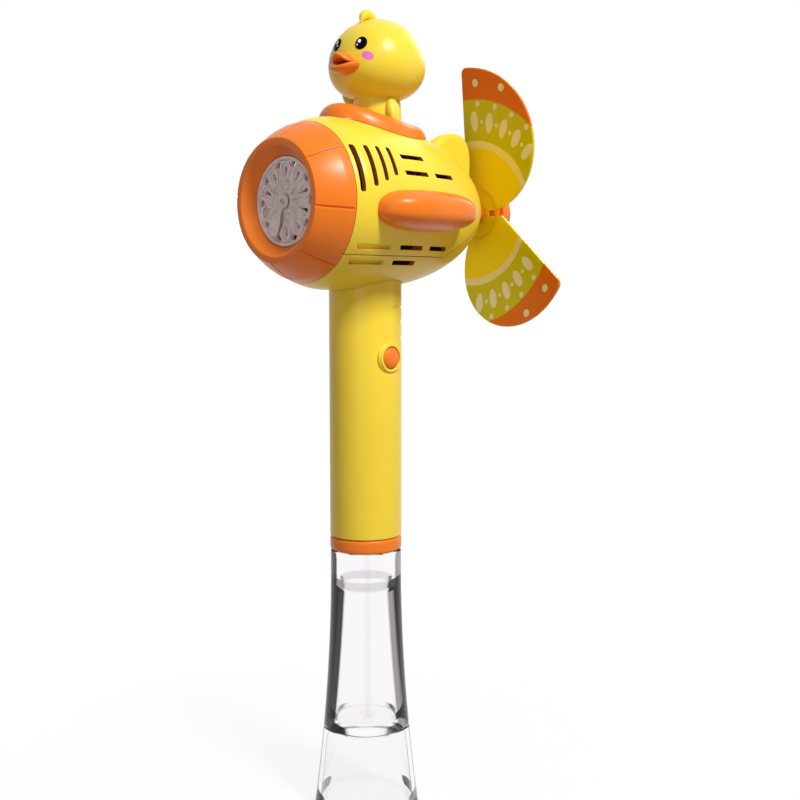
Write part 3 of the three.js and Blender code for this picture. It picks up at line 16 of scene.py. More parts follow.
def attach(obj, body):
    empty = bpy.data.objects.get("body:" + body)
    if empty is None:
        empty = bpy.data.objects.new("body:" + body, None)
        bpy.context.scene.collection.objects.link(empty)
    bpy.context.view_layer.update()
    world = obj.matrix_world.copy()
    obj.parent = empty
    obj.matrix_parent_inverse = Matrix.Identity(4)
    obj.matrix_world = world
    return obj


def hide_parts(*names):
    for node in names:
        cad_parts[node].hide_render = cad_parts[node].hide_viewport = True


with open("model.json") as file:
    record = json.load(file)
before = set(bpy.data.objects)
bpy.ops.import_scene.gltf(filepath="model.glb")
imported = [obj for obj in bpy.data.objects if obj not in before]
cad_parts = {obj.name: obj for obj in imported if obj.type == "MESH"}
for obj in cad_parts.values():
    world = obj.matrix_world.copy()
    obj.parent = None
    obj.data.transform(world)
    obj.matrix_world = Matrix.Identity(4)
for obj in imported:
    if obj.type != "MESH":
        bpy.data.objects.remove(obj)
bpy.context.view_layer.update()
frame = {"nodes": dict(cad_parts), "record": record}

MM = 0.001
scene = bpy.context.scene

# %% [markdown]
# ## Tools for turned and pushed shapes
# Nearly every part of this toy is moulded as a body of revolution or a flat outline with depth, so two small tools
# do most of the work. A profile can be drawn with sharp corners and then softened, which is quicker than bevelling
# each edge afterwards, and real mouldings have a radius on every corner anyway.

# %% Profiles, turning and pushing
AXIS = {"X": Vector((1, 0, 0)), "Y": Vector((0, 1, 0)), "Z": Vector((0, 0, 1))}


def softened(points, radius, closed=False, count=4):
    """The same line with its corners rounded."""
    corners = [Vector(p) for p in points]
    line = []
    for i, corner in enumerate(corners):
        if not closed and i in (0, len(corners) - 1):
            line.append(corner)
            continue
        before = corners[i - 1] - corner
        after = corners[(i + 1) % len(corners)] - corner
        half = before.angle(after) / 2
        if half > 1.5:
            line.append(corner)
            continue
        reach = min(radius / math.tan(half), 0.49 * before.length, 0.49 * after.length)
        start = corner + before.normalized() * reach
        end = corner + after.normalized() * reach
        for k in range(count + 1):
            t = k / count
            line.append(start.lerp(corner, t).lerp(corner.lerp(end, t), t))
    return line


def turned(profile, axis="Z", centre=(0, 0, 0), steps=128, closed=False):
    """A profile of (radius, height) in millimetres spun once round an axis."""
    place = {"X": lambda r, a: (a, 0, r), "Y": lambda r, a: (r, a, 0), "Z": lambda r, a: (r, 0, a)}[axis]
    bm = bmesh.new()
    line = [bm.verts.new(Vector(place(r, a)) * MM) for r, a in profile]
    edges = [bm.edges.new(pair) for pair in zip(line, line[1:])]
    if closed:
        edges.append(bm.edges.new((line[-1], line[0])))
    bmesh.ops.spin(bm, geom=line + edges, cent=(0, 0, 0), axis=AXIS[axis], dvec=(0, 0, 0),
                   angle=2 * math.pi, steps=steps, use_merge=True)
    bmesh.ops.remove_doubles(bm, verts=bm.verts, dist=1e-7)
    bmesh.ops.recalc_face_normals(bm, faces=bm.faces)
    bmesh.ops.translate(bm, verts=bm.verts, vec=Vector(centre) * MM)
    return bm


def pushed(outline, axis, low, high):
    """A flat outline in millimetres pushed along an axis into a closed solid."""
    place = {"X": lambda u, v: (low, u, v), "Y": lambda u, v: (u, low, v), "Z": lambda u, v: (u, v, low)}[axis]
    bm = bmesh.new()
    face = bm.faces.new([bm.verts.new(Vector(place(u, v)) * MM) for u, v in outline])
    moved = bmesh.ops.extrude_face_region(bm, geom=[face])["geom"]
    tops = [g for g in moved if isinstance(g, bmesh.types.BMVert)]
    bmesh.ops.translate(bm, verts=tops, vec=AXIS[axis] * (high - low) * MM)
    bmesh.ops.holes_fill(bm, edges=[e for e in bm.edges if e.is_boundary], sides=0)
    bmesh.ops.recalc_face_normals(bm, faces=bm.faces)
    return bm


def ball(sizes, centre, fullness=1.0, bend=None, columns=72, rows=48):
    """A ball drawn out to three half sizes; a bend may move its points first."""
    bm = bmesh.new()
    bmesh.ops.create_uvsphere(bm, u_segments=columns, v_segments=rows, radius=1)
    for vert in bm.verts:
        point = Vector([math.copysign(abs(c) ** fullness, c) for c in vert.co])
        point = Vector(bend(*point)) if bend else point
        vert.co = Vector([c + s * p for c, s, p in zip(centre, sizes, point)]) * MM
    return bm


def gathered(*parts):
    """Several shapes in one mesh."""
    whole = bmesh.new()
    for part in parts:
        mesh = bpy.data.meshes.new("part")
        part.to_mesh(mesh)
        part.free()
        whole.from_mesh(mesh)
        bpy.data.meshes.remove(mesh)
    return whole


print("turning, pushing and ball tools ready")

# %% [markdown]
# ## From shape to finished piece
# A slot in a moulded shell is a clean cut, so a Boolean does it: the cutter is a pushed outline, the modifier is
# settled into the mesh at once, and the cutter goes away. Normals are smoothed except across real edges. Each piece
# then rides on its body of the model and hides the faceted solid that it stands for.

# %% Objects, cuts and the final hand-over
def as_object(bm, name):
    mesh = bpy.data.meshes.new(name)
    bm.to_mesh(mesh)
    bm.free()
    obj = bpy.data.objects.new(name, mesh)
    scene.collection.objects.link(obj)
    return obj


def settle(obj):
    """The modifiers' result becomes the mesh."""
    shaped = obj.evaluated_get(bpy.context.evaluated_depsgraph_get())
    old = obj.data
    obj.data = bpy.data.meshes.new_from_object(shaped)
    obj.modifiers.clear()
    bpy.data.meshes.remove(old)
    return obj


def carve(obj, cutter, operation="DIFFERENCE"):
    tool = as_object(cutter, "cutter")
    cut = obj.modifiers.new("cut", "BOOLEAN")
    cut.operation = operation
    cut.solver = "EXACT"
    cut.object = tool
    settle(obj)
    bpy.data.objects.remove(tool)
    return obj


def rounded(obj, width, segments=3, angle=40):
    edge = obj.modifiers.new("edge", "BEVEL")
    edge.width = width * MM
    edge.segments = segments
    edge.limit_method = "ANGLE"
    edge.angle_limit = math.radians(angle)
    edge.harden_normals = False
    return settle(obj)


def finish(obj, body, slot, material, *nodes, sharp=38):
    obj.data.shade_smooth()
    obj.data.set_sharp_from_angle(angle=math.radians(sharp))
    obj.data.materials.clear()
    obj.data.materials.append(material)
    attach(obj, body)
    if nodes:
        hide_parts(*nodes)
    print(f"{obj.name}: {len(obj.data.polygons)} faces on {body}")
    return obj


# %% [markdown]
# ## Moulded plastic
# The yellow and orange parts are injection moulded, with a satin skin that shows a broad soft highlight. A flat
# colour would look like paper, so three layers of noise are used: a slow one shifts the colour by a few per cent, the
# same one moves the roughness, and a very fine one raises the slight spark-eroded texture of the mould.

# %% Colour and noise helpers
def shade(r, g, b, alpha=1.0):
    """A colour read off a picture, 0 to 255, as the linear colour a shader needs."""
    linear = [c / 12.92 if c <= 0.04045 else ((c + 0.055) / 1.055) ** 2.4 for c in (r / 255, g / 255, b / 255)]
    return (*linear, alpha)


def started(name):
    material = bpy.data.materials.new(name)
    material.use_nodes = True
    return material, material.node_tree, material.node_tree.nodes["Principled BSDF"]


def noise(tree, scale, detail=2.0, stretch=(1, 1, 1)):
    coords = tree.nodes.new("ShaderNodeTexCoord")
    turn = tree.nodes.new("ShaderNodeMapping")
    turn.inputs["Scale"].default_value = stretch
    grain = tree.nodes.new("ShaderNodeTexNoise")
    grain.inputs["Scale"].default_value = scale
    grain.inputs["Detail"].default_value = detail
    tree.links.new(coords.outputs["Object"], turn.inputs["Vector"])
    tree.links.new(turn.outputs["Vector"], grain.inputs["Vector"])
    return grain.outputs["Fac"]


def colours(tree, value, stops, sharp=False):
    ramp = tree.nodes.new("ShaderNodeValToRGB")
    ramp.color_ramp.interpolation = "CONSTANT" if sharp else "LINEAR"
    while len(ramp.color_ramp.elements) < len(stops):
        ramp.color_ramp.elements.new(0.5)
    for element, (place, colour) in zip(ramp.color_ramp.elements, stops):
        element.position = place
        element.color = colour
    tree.links.new(value, ramp.inputs["Fac"])
    return ramp.outputs["Color"]


def between(tree, value, low, high):
    scaled = tree.nodes.new("ShaderNodeMapRange")
    scaled.inputs["To Min"].default_value = low
    scaled.inputs["To Max"].default_value = high
    tree.links.new(value, scaled.inputs["Value"])
    return scaled.outputs["Result"]


def ramped(tree, value, start, end):
    """0 up to the start, 1 from the end on."""
    scaled = tree.nodes.new("ShaderNodeMapRange")
    scaled.inputs["From Min"].default_value = start
    scaled.inputs["From Max"].default_value = end
    tree.links.new(value, scaled.inputs["Value"])
    return scaled.outputs["Result"]


def maths(tree, operation, *values):
    node = tree.nodes.new("ShaderNodeMath")
    node.operation = operation
    for socket, value in zip(node.inputs, values):
        if isinstance(value, (int, float)):
            socket.default_value = value
        else:
            tree.links.new(value, socket)
    return node.outputs["Value"]


def mixed(tree, mask, first, second):
    """The first colour where the mask is 0 and the second where it is 1."""
    mix = tree.nodes.new("ShaderNodeMix")
    mix.data_type = "RGBA"
    tree.links.new(mask, mix.inputs["Factor"])
    for socket, colour in ((mix.inputs["A"], first), (mix.inputs["B"], second)):
        if isinstance(colour, tuple):
            socket.default_value = colour
        else:
            tree.links.new(colour, socket)
    return mix.outputs["Result"]


def painted(tree, mask, colour):
    """A second colour over the base colour, where the mask is 1."""
    base = tree.nodes["Principled BSDF"].inputs["Base Color"]
    tree.links.new(mixed(tree, mask, base.links[0].from_socket, colour), base)


def raised(tree, shader, value, strength, distance):
    bump = tree.nodes.new("ShaderNodeBump")
    bump.inputs["Strength"].default_value = strength
    bump.inputs["Distance"].default_value = distance
    tree.links.new(value, bump.inputs["Height"])
    tree.links.new(bump.outputs["Normal"], shader.inputs["Normal"])


def tinted(colour, factor):
    return (*[min(1.0, c * factor) for c in colour[:3]], colour[3])


# %% Moulded plastics, rubber, steel and board
def moulded(name, colour, rough=(0.30, 0.40), texture=1500, bump=0.05, coat=0.06):
    material, tree, shader = started(name)
    slow = noise(tree, 38, 3)
    mottled = colours(tree, slow, [(0.3, tinted(colour, 0.96)), (0.7, tinted(colour, 1.03))])
    tree.links.new(mottled, shader.inputs["Base Color"])
    tree.links.new(between(tree, slow, *rough), shader.inputs["Roughness"])
    shader.inputs["Coat Weight"].default_value = coat
    shader.inputs["Coat Roughness"].default_value = 0.22
    shader.inputs["Specular IOR Level"].default_value = 0.28
    raised(tree, shader, noise(tree, texture, 2), bump, 0.0001)
    return material


def metal(name, colour, stretch):
    material, tree, shader = started(name)
    streaks = noise(tree, 260, 3, stretch)
    tree.links.new(colours(tree, streaks, [(0.3, tinted(colour, 0.85)), (0.7, tinted(colour, 1.1))]),
                   shader.inputs["Base Color"])
    shader.inputs["Metallic"].default_value = 1.0
    tree.links.new(between(tree, streaks, 0.22, 0.38), shader.inputs["Roughness"])
    raised(tree, shader, streaks, 0.05, 0.00005)
    return material


YELLOW, ORANGE = shade(243, 214, 60), shade(238, 124, 26)
yellow = moulded("yellow_moulding", YELLOW)
orange = moulded("orange_moulding", ORANGE)
white = moulded("white_nylon", shade(226, 223, 214), rough=(0.45, 0.6), coat=0.0)
black = moulded("black_moulding", shade(66, 40, 24), rough=(0.4, 0.55), coat=0.1)
rubber = moulded("soft_gasket", shade(216, 212, 204), rough=(0.6, 0.8), texture=700, bump=0.12, coat=0.0)
board = moulded("green_lacquer", shade(28, 96, 52), rough=(0.25, 0.4), texture=900, bump=0.15, coat=0.4)
steel = metal("drawn_steel", shade(190, 192, 196), (1, 0.06, 1))
can = metal("cell_can", shade(205, 206, 210), (1, 1, 0.04))
print("plastics and metals ready")

# %% [markdown]
# ## Clear and smoky plastic
# The bottle is thick clear acrylic. In a bright room such a wall is white where it is seen square on and dark towards
# its edges, where the light bends away to the side. Real refraction alone gives little of that against an all-white
# background, so the outer skin's colour is painted darker towards its edges, following Layer Weight, which is the
# angle between surface and eye. This painted shade is near black on one side and a paler grey-mauve on the other, as
# the light falls. How wide the painted dark edge is depends on the wall's thickness, so it changes with height. A pale
# grey ring of painted shade sits on the inner step near the neck. The bubble disc is a smoky moulding.

# %% Clear acrylic, clear tube and smoky disc
TALL = 150


def acrylic(name, dark, pale, bands, skin=0.0, ring=None, rough=0.03, ior=1.2):
    """Clear plastic with painted edge shade; bands hold (height, angle at which the painted shade starts), skin the
    inner radius, and ring a painted shade on an inner step.
    """
    material, tree, shader = started(name)
    coords = tree.nodes.new("ShaderNodeTexCoord")
    place = tree.nodes.new("ShaderNodeSeparateXYZ")
    way = tree.nodes.new("ShaderNodeSeparateXYZ")
    tree.links.new(coords.outputs["Object"], place.inputs["Vector"])
    tree.links.new(coords.outputs["Normal"], way.inputs["Vector"])
    facing = tree.nodes.new("ShaderNodeLayerWeight")
    facing.inputs["Blend"].default_value = 0.5
    height = maths(tree, "MULTIPLY", place.outputs["Z"], 1000 / TALL)
    start = colours(tree, height, [(z / TALL, (v, v, v, 1)) for z, v in bands])
    edge = ramped(tree, maths(tree, "SUBTRACT", facing.outputs["Facing"], start), 0.0, 0.05)
    across = [maths(tree, "POWER", place.outputs[axis], 2.0) for axis in "XY"]
    radius = maths(tree, "SQRT", maths(tree, "ADD", *across))
    outer = ramped(tree, radius, (skin - 0.3) * MM, (skin + 0.3) * MM)
    upright = ramped(tree, maths(tree, "ABSOLUTE", way.outputs["Z"]), 0.85, 0.6)
    amount = maths(tree, "MULTIPLY", maths(tree, "MULTIPLY", edge, outer), upright)
    # painted shade: the edge colour is darker on one side of the part than on the other, as the light falls
    side = ramped(tree, maths(tree, "ADD", way.outputs["X"], way.outputs["Y"]), -0.7, 0.7)
    # clear where the wall is seen square on, painted shade towards the edges
    tint = mixed(tree, amount, shade(252, 251, 252), colours(tree, side, [(0.0, dark), (1.0, pale)]))
    # ring: a band of painted shade on the inner surface between two heights
    if ring:
        low, high, ring_shade = ring
        level = maths(tree, "MULTIPLY", ramped(tree, height, (low - 1) / TALL, low / TALL),
                      ramped(tree, height, (high + 1) / TALL, high / TALL))
        tint = mixed(tree, maths(tree, "MULTIPLY", level, maths(tree, "SUBTRACT", 1.0, outer)), tint, ring_shade)
    tree.links.new(tint, shader.inputs["Base Color"])
    shader.inputs["Transmission Weight"].default_value = 1.0
    shader.inputs["IOR"].default_value = ior
    ripple = noise(tree, 55, 2)
    tree.links.new(between(tree, ripple, rough, 2 * rough), shader.inputs["Roughness"])
    raised(tree, shader, ripple, 0.02, 0.0002)
    return material


# painted shade colours for the edges of the clear parts
edge_shade_dark, edge_shade_pale = shade(14, 11, 12), shade(100, 91, 92)
bottle_bands = [(0, 0.13), (46, 0.13), (47, 0.33), (114.5, 0.2), (116.5, 0.43), (TALL, 0.43)]
# the ring puts a pale grey painted shade on the bottle's inner step near the neck
clear = acrylic("clear_acrylic", edge_shade_dark, edge_shade_pale, bottle_bands, 17.0, (114, 118, shade(205, 200, 202)))
foot_bands = [(0, 0.45), (8, 0.45), (9.5, 0.8), (TALL, 0.8)]
clear_foot = acrylic("clear_foot", edge_shade_dark, edge_shade_pale, foot_bands, 19.0)
clear_tube = acrylic("clear_tube", edge_shade_pale, edge_shade_pale, [(0, 0.97), (TALL, 0.97)], ior=1.03)


def smoke(name, colour):
    material, tree, shader = started(name)
    cloud = noise(tree, 210, 3)
    tree.links.new(colours(tree, cloud, [(0.3, tinted(colour, 0.86)), (0.7, tinted(colour, 1.1))]),
                   shader.inputs["Base Color"])
    shader.inputs["Transmission Weight"].default_value = 0.04
    tree.links.new(between(tree, cloud, 0.28, 0.42), shader.inputs["Roughness"])
    raised(tree, shader, noise(tree, 1100, 2), 0.06, 0.0001)
    return material


smoky = smoke("smoky_plastic", shade(250, 242, 243))
smoky_dark = smoke("smoky_plastic_deep", shade(240, 231, 233))
print("clear and smoky plastics ready")

# %% [markdown]
# ## Solids that keep their own mesh
# Gears, cells, motor and bulkheads sit inside the shells and show at most through a slot, so their solids are good
# enough as they are. They get the finish of the slot that the record names, and the skins below hide the rest.

# %% Finishes for the inner solids
FINISH = {"yellow_plastic": yellow, "orange_plastic": orange, "clear_plastic": clear, "clear_tube": clear_tube,
          "soft_white": rubber, "smoke_plastic": smoky, "white_plastic": white, "black_plastic": black,
          "board_green": board, "bright_steel": steel, "cell_can": can, "printed_sheet": yellow}
for part in frame["record"]["subparts"]:
    holder = frame["nodes"][part["node"]]
    for spot in holder.material_slots:
        spot.material = FINISH[part["material_slot"]]

# %% [markdown]
# ## Clear bottle and foot
# The bottle of solution screws into the collar and its flared foot is the stand. On the real toy it is blown or
# moulded in one clear plastic, with a thick wall that leaves a cone-shaped hollow. A spun profile that runs up the
# outside and back down the inside gives a true wall, which glass needs to look right.

# %% Bottle and foot
FOOT_R, BOTTLE_R, FLARE_TOP, FLARE_POWER = 26.6, 17.8, 127, 1.93
FLOOR_Z, BOTTLE_TOP, NECK_TOP = 42, 133, 142


def flare(z):
    return BOTTLE_R + (FOOT_R - BOTTLE_R) * max(0, 1 - z / FLARE_TOP) ** FLARE_POWER


def levels(low, high, count):
    return [low + (high - low) * i / count for i in range(count + 1)]


outside = [(flare(z), z) for z in levels(FLOOR_Z, BOTTLE_TOP, 24)]
neck = [(13.6, BOTTLE_TOP), (13.6, NECK_TOP), (11.2, NECK_TOP), (11.2, 140)]
inside = [(12.6, 133), (14.2, 127), (14.4, 121), (13.6, 117.5), (12.4, 114.5), (11.9, 112), (15.6, 45.4), (0, 45.2)]
bottle_line = [(0, FLOOR_Z)] + outside + neck + inside
bottle = as_object(turned(softened(bottle_line, 0.8)), "clear_bottle")
finish(bottle, "bottle", "clear_plastic", clear, "solution_bottle")

cup = [v.co / MM for v in frame["nodes"]["tube_filter"].data.vertices]
cup_low, cup_high = min(p.z for p in cup), max(p.z for p in cup)
cup_x, cup_y = [(min(p[i] for p in cup) + max(p[i] for p in cup)) / 2 for i in (0, 1)]
cup_r = max(p.x for p in cup) - cup_x
plug_line = softened([(0, cup_low), (cup_r, cup_low), (cup_r, cup_high), (0, cup_high)], 0.5)
plug = as_object(turned(plug_line, centre=(cup_x, cup_y, 0), steps=48), "filter_plug")
finish(plug, "main", "white_plastic", clear_tube, "tube_filter")

foot_top = FLOOR_Z - 0.3
foot_out = [(flare(z), z) for z in levels(0, foot_top, 12)]
foot_in = [(flare(z) - 2.2, z) for z in levels(2.2, foot_top, 12)][::-1]
foot = as_object(turned(softened([(0, 0)] + foot_out + foot_in + [(0, 2.2)], 0.6)), "clear_stand")
finish(foot, "bottle", "clear_plastic", clear_foot, "bottle_foot")

# %% [markdown]
# ## Collar, handle, battery door and button
# The handle is a plain yellow tube for four cells, closed by an orange collar below. A door on its far side lets the
# cells in and an orange button sits in a raised ring on its near side. The tube is spun and the door's opening and
# the button's hole are cut from it. The door is a slice of the same wall, so it is spun through part of a turn.

# %% Collar and handle
HANDLE_R, HANDLE_BORE, HANDLE_Z, HANDLE_END = 18, 16, 140.6, 272
BUTTON_Z, DOOR_LOW, DOOR_HIGH = 230.3, 152.4, 248.4

collar_line = [(13.9, 133.3), (HANDLE_R, 133.3), (HANDLE_R, 140.3), (13.9, 140.3)]
collar = as_object(turned(softened(collar_line, 1.6, closed=True), closed=True), "bottle_collar")
finish(collar, "main", "orange_plastic", orange, "screw_collar")

tube_line = [(HANDLE_BORE, HANDLE_Z), (HANDLE_R, HANDLE_Z), (HANDLE_R, HANDLE_END), (HANDLE_BORE, HANDLE_END)]
handle = as_object(turned(softened(tube_line, 0.5, closed=True), steps=160, closed=True), "handle_grip")
ring_line = [(5.6, 16.2), (7.6, 16.2), (7.6, 17.6), (7.0, 18.2), (6.9, 18.9), (5.6, 18.9)]
button_ring = turned(softened(ring_line, 0.4, closed=True), "X", (0, 0, BUTTON_Z), 64, closed=True)
carve(handle, button_ring, "UNION")
carve(handle, turned([(0, 10), (5.6, 10), (5.6, 30), (0, 30)], "X", (0, 0, BUTTON_Z), 64))


def door_slice(half_angle, inner, outer, low, high, middle=180):
    """A slice of the tube's wall, on the far side unless told otherwise."""
    bm = bmesh.new()
    corners = [(inner, low), (outer, low), (outer, high), (inner, high)]
    turn = Matrix.Rotation(math.radians(middle - half_angle), 3, "Z")
    face = bm.faces.new([bm.verts.new(turn @ Vector((r, 0, z)) * MM) for r, z in corners])
    bmesh.ops.spin(bm, geom=[face] + face.edges[:] + face.verts[:], cent=(0, 0, 0), axis=(0, 0, 1), dvec=(0, 0, 0),
                   angle=math.radians(2 * half_angle), steps=40)
    bmesh.ops.remove_doubles(bm, verts=bm.verts, dist=1e-7)
    bmesh.ops.holes_fill(bm, edges=[e for e in bm.edges if e.is_boundary], sides=0)
    bmesh.ops.recalc_face_normals(bm, faces=bm.faces)
    return bm


carve(handle, door_slice(48, HANDLE_BORE - 3, HANDLE_R + 3, DOOR_LOW, DOOR_HIGH))
for z, start, end in ((254.8, 3, 177), (247.9, 21, 126), (239.4, 33, 126)):
    carve(handle, door_slice((end - start) / 2, HANDLE_R - 0.45, HANDLE_R + 1, z - 0.7, z + 0.7, (start + end) / 2))
finish(handle, "main", "yellow_plastic", yellow, "handle_tube")

# %% Battery door and power button
door = as_object(door_slice(47.05, HANDLE_BORE, HANDLE_R, DOOR_LOW + 0.3, DOOR_HIGH - 0.3), "cell_door")
for rib in range(5):
    z = DOOR_HIGH - 9 - 2.4 * rib
    bar = door_slice(16, HANDLE_R - 0.5, HANDLE_R + 0.35, z - 0.6, z + 0.6)
    carve(door, bar, "UNION")
finish(rounded(door, 0.18, 2, 50), "main", "yellow_plastic", yellow, "battery_door")

cap = [(0, 20.2), (2.6, 20.08), (4.2, 19.6), (5.2, 18.5), (5.2, 14.2), (6.3, 14.2), (6.3, 13.1), (1.6, 13.1), (1.6, 10.4), (0, 10.4)]
button = as_object(turned(softened(cap, 0.7), "X", (0, 0, BUTTON_Z), 64), "push_button")
finish(button, "button", "orange_plastic", orange, "power_button")

# %% [markdown]
# ## Fuselage shells
# The body is two thin shells that meet at a level seam, which climbs to the middle of the tail. Vents let the fan draw
# air in. The outline is one smooth curve, fullest behind the nose and drawn to a point at the tail, so it is spun from
# a formula. The seam and the slots are then cut through, and a small bevel catches the light along each cut. The
# inner faces and the slot cheeks are painted dark brown as painted shade, and they glow faintly brown as painted
# light.

# %% Outline of the fuselage
AXIS_Z, BELLY_R, WIDEST_Y, NOSE_Y, NOSE_R = 304.2, 40.82, -25.3, -40.0, 37.5
TAIL_TIP, TAIL_Y, WALL = 80, 78, 2.2
FLIGHT = (0, 0, AXIS_Z)


def girth(y):
    """The fuselage's radius at a place along the flight axis."""
    if y < WIDEST_Y:
        return BELLY_R - (BELLY_R - NOSE_R) * ((WIDEST_Y - y) / (WIDEST_Y - NOSE_Y)) ** 2
    along = min(1, (y - WIDEST_Y) / (TAIL_TIP - WIDEST_Y))
    return BELLY_R * (1 - along ** 3.02) ** (1 / 1.3)


def hollow(y):
    closing = max(0, (y - WIDEST_Y) / (TAIL_TIP - WIDEST_Y))
    return girth(y + WALL * closing) - WALL


stations = levels(NOSE_Y, 40, 24) + [40 + 38 * math.sin(math.pi / 2 * t) for t in levels(0, 1, 22)[1:]]
inner_stations = [y for y in stations if hollow(y) > 8.2]


def hull(steps=176):
    outer = [(girth(y), y) for y in stations]
    inner = [(hollow(y), y) for y in inner_stations][::-1]
    bore = [(3.9, TAIL_Y), (3.9, inner_stations[-1] + 0.2)]
    return turned(outer + bore + inner, "Y", FLIGHT, steps, closed=True)


def seat(grow=0.3, steps=96):
    """The solid that wings, fin and rim are cut to sit on."""
    return turned([(0, NOSE_Y)] + [(girth(y) + grow, y) for y in stations] + [(0, TAIL_Y)], "Y", FLIGHT, steps)


print("fuselage girth at the wing:", round(girth(3), 1), "mm")

# %% Slots, vents and seam
def below_seam(lift):
    line = [(-90, lift - 25), (27, lift - 25), (118, lift + 25 * 40 / 51)]
    return pushed([(y, AXIS_Z + z) for y, z in [(-90, -85)] + line + [(118, -85)]], "X", -90, 90)


def slot(span, middle):
    low, high = AXIS_Z + middle - 1.05, AXIS_Z + middle + 1.05
    corners = [(span[0] + 0.5, low), (span[1] + 0.5, low), (span[1] - 0.5, high), (span[0] - 0.5, high)]
    return pushed(softened(corners, 0.5, closed=True), "X", -90, 90)


def blind(cutter):
    """The outer part of a cutter, for a slot that stays closed behind."""
    piece = carve(as_object(cutter, "shallow"), seat(-1.5))
    bm = bmesh.new()
    bm.from_mesh(piece.data)
    bpy.data.objects.remove(piece)
    return bm


def vent(i):
    y, foot = -37 + 6.75 * i, 3.1 + 2.8 * i
    corners = [(y - 1.25, foot), (y + 1.25, foot), (y + 1.25, 24.7), (y - 1.25, 24.7)]
    return pushed([(u, AXIS_Z + v) for u, v in softened(corners, 1.2, closed=True)], "X", -90, 90)


FRONT, MIDDLE, REAR = (-36, -16), (-10.2, 5.5), (11.2, 25.2)
upper_cuts = [vent(i) for i in range(4)] + [slot(MIDDLE, 20.9), slot(MIDDLE, 13.3), slot(REAR, 13.3)]
upper_cuts += [blind(slot(FRONT, -21)), slot(MIDDLE, -21), slot(REAR, -21)]
lower_cuts = [blind(slot(FRONT, -28)), slot(MIDDLE, -28)]

shell_finish = moulded("yellow_shell", YELLOW)
# painted shade: faces marked as inside get a dark brown colour
inside_shade_glow_mark = shell_finish.node_tree.nodes.new("ShaderNodeAttribute")
inside_shade_glow_mark.attribute_name = "inside"
painted(shell_finish.node_tree, inside_shade_glow_mark.outputs["Fac"], shade(92, 58, 12))
shell_shader = shell_finish.node_tree.nodes["Principled BSDF"]
# painted light: the marked faces glow faintly brown
shell_shader.inputs["Emission Color"].default_value = shade(78, 31, 8)
shell_finish.node_tree.links.new(inside_shade_glow_mark.outputs["Fac"], shell_shader.inputs["Emission Strength"])
SKIN, POCKET = 0.5, 1.7


def mark_inside(shell):
    """The inner faces and the cheeks of the open slots, which are painted dark brown as painted shade and glow brown
    as painted light.
    """
    mark_of = shell.data.attributes.new("inside", "FLOAT", "FACE")
    for face, value in zip(shell.data.polygons, mark_of.data):
        x, y, z = face.center / MM
        depth = girth(y) - math.hypot(x, z - AXIS_Z)
        in_pocket = FRONT[0] - 1 < y < FRONT[1] + 1 and -32 < z - AXIS_Z < -17 and depth < POCKET
        value.value = float(depth > SKIN and not in_pocket)
    return shell


upper = as_object(hull(), "fuselage_top")
carve(upper, below_seam(0.3))
carve(upper, gathered(*upper_cuts))
finish(mark_inside(rounded(upper, 0.22, 2, 50)), "main", "yellow_plastic", shell_finish, "fuselage_upper_shell")

lower = as_object(hull(), "fuselage_belly")
carve(lower, below_seam(0.0), "INTERSECT")
carve(lower, gathered(*lower_cuts))
carve(lower, turned([(0, 200), (18.3, 200), (18.3, 300), (0, 300)], steps=96))
finish(mark_inside(rounded(lower, 0.22, 2, 50)), "main", "yellow_plastic", shell_finish, "fuselage_lower_shell")

# %% [markdown]
# ## Nose ring
# The orange cowl holds the bubble disc in a shallow bowl. Its cone has eight panel lines. The profile goes from the
# joint with the fuselage over the bulging cone, round the lip, down the bowl and back along the spigot inside, and the
# lines are thin cuts turned round the axis.

# %% Cowl with its panel lines
BACK_EDGE = NOSE_Y - 0.06
cowl_line = [(37.5, BACK_EDGE), (36.2, -44.3), (33.9, -48.9), (31.2, -53.1), (29.0, -56.2), (28.5, -56.75),
             (25.8, -56.75), (25.2, -56.4), (23.9, -54.7), (22.3, -52.7), (21.0, -51.0), (21.0, -48.0),
             (19.5, -48.0), (19.5, -46.5), (30.9, -40.3), (30.9, -35.1), (34.9, -35.1), (34.9, BACK_EDGE)]
cowl = as_object(turned(softened(cowl_line, 0.3, closed=True), "Y", FLIGHT, 192, closed=True), "nose_cowl")


def panel_line(i):
    bed = [(-41.0, 36.6), (-44.3, 35.4), (-48.9, 33.1), (-53.1, 30.4), (-57.0, 27.9)]
    above = [(-57.0, 44), (-41.0, 44)]
    cut = pushed(bed + above, "X", -0.5, 0.5)
    bmesh.ops.rotate(cut, verts=cut.verts, cent=(0, 0, 0), matrix=Matrix.Rotation(math.radians(7 + 45 * i), 3, "Y"))
    bmesh.ops.translate(cut, verts=cut.verts, vec=Vector(FLIGHT) * MM)
    return cut


carve(cowl, gathered(*[panel_line(i) for i in range(8)]))
finish(rounded(cowl, 0.2, 2, 60), "main", "orange_plastic", orange, "nose_ring", sharp=28)

# %% [markdown]
# ## Bubble disc and wiper
# Ten drop-shaped loops stand round the disc, each a raised rim over a dark hole, with a bar to the solid hub. A paddle
# sweeps over them and spreads the solution. The plate is spun and pierced, and each rim is a round bead that follows
# the same outline, which a bevelled curve gives directly.

# %% Disc plate, loop rims and paddle
DISC_FRONT, DISC_R = -51.1, 20.7


def drop(scale=1.0, count=22):
    """Outline of a loop along +X, round end outwards."""
    shoulder = math.acos(3.2 / 5.7)
    spread = levels(-(math.pi - shoulder), math.pi - shoulder, count)
    return [(9.3 - 1.2 * (scale - 1), 0)] + [(15 + 3.2 * scale * math.cos(a), 3.2 * scale * math.sin(a)) for a in spread]


def round_the_axis(points, degrees):
    turn = math.radians(degrees)
    return [(u * math.cos(turn) - v * math.sin(turn), u * math.sin(turn) + v * math.cos(turn)) for u, v in points]


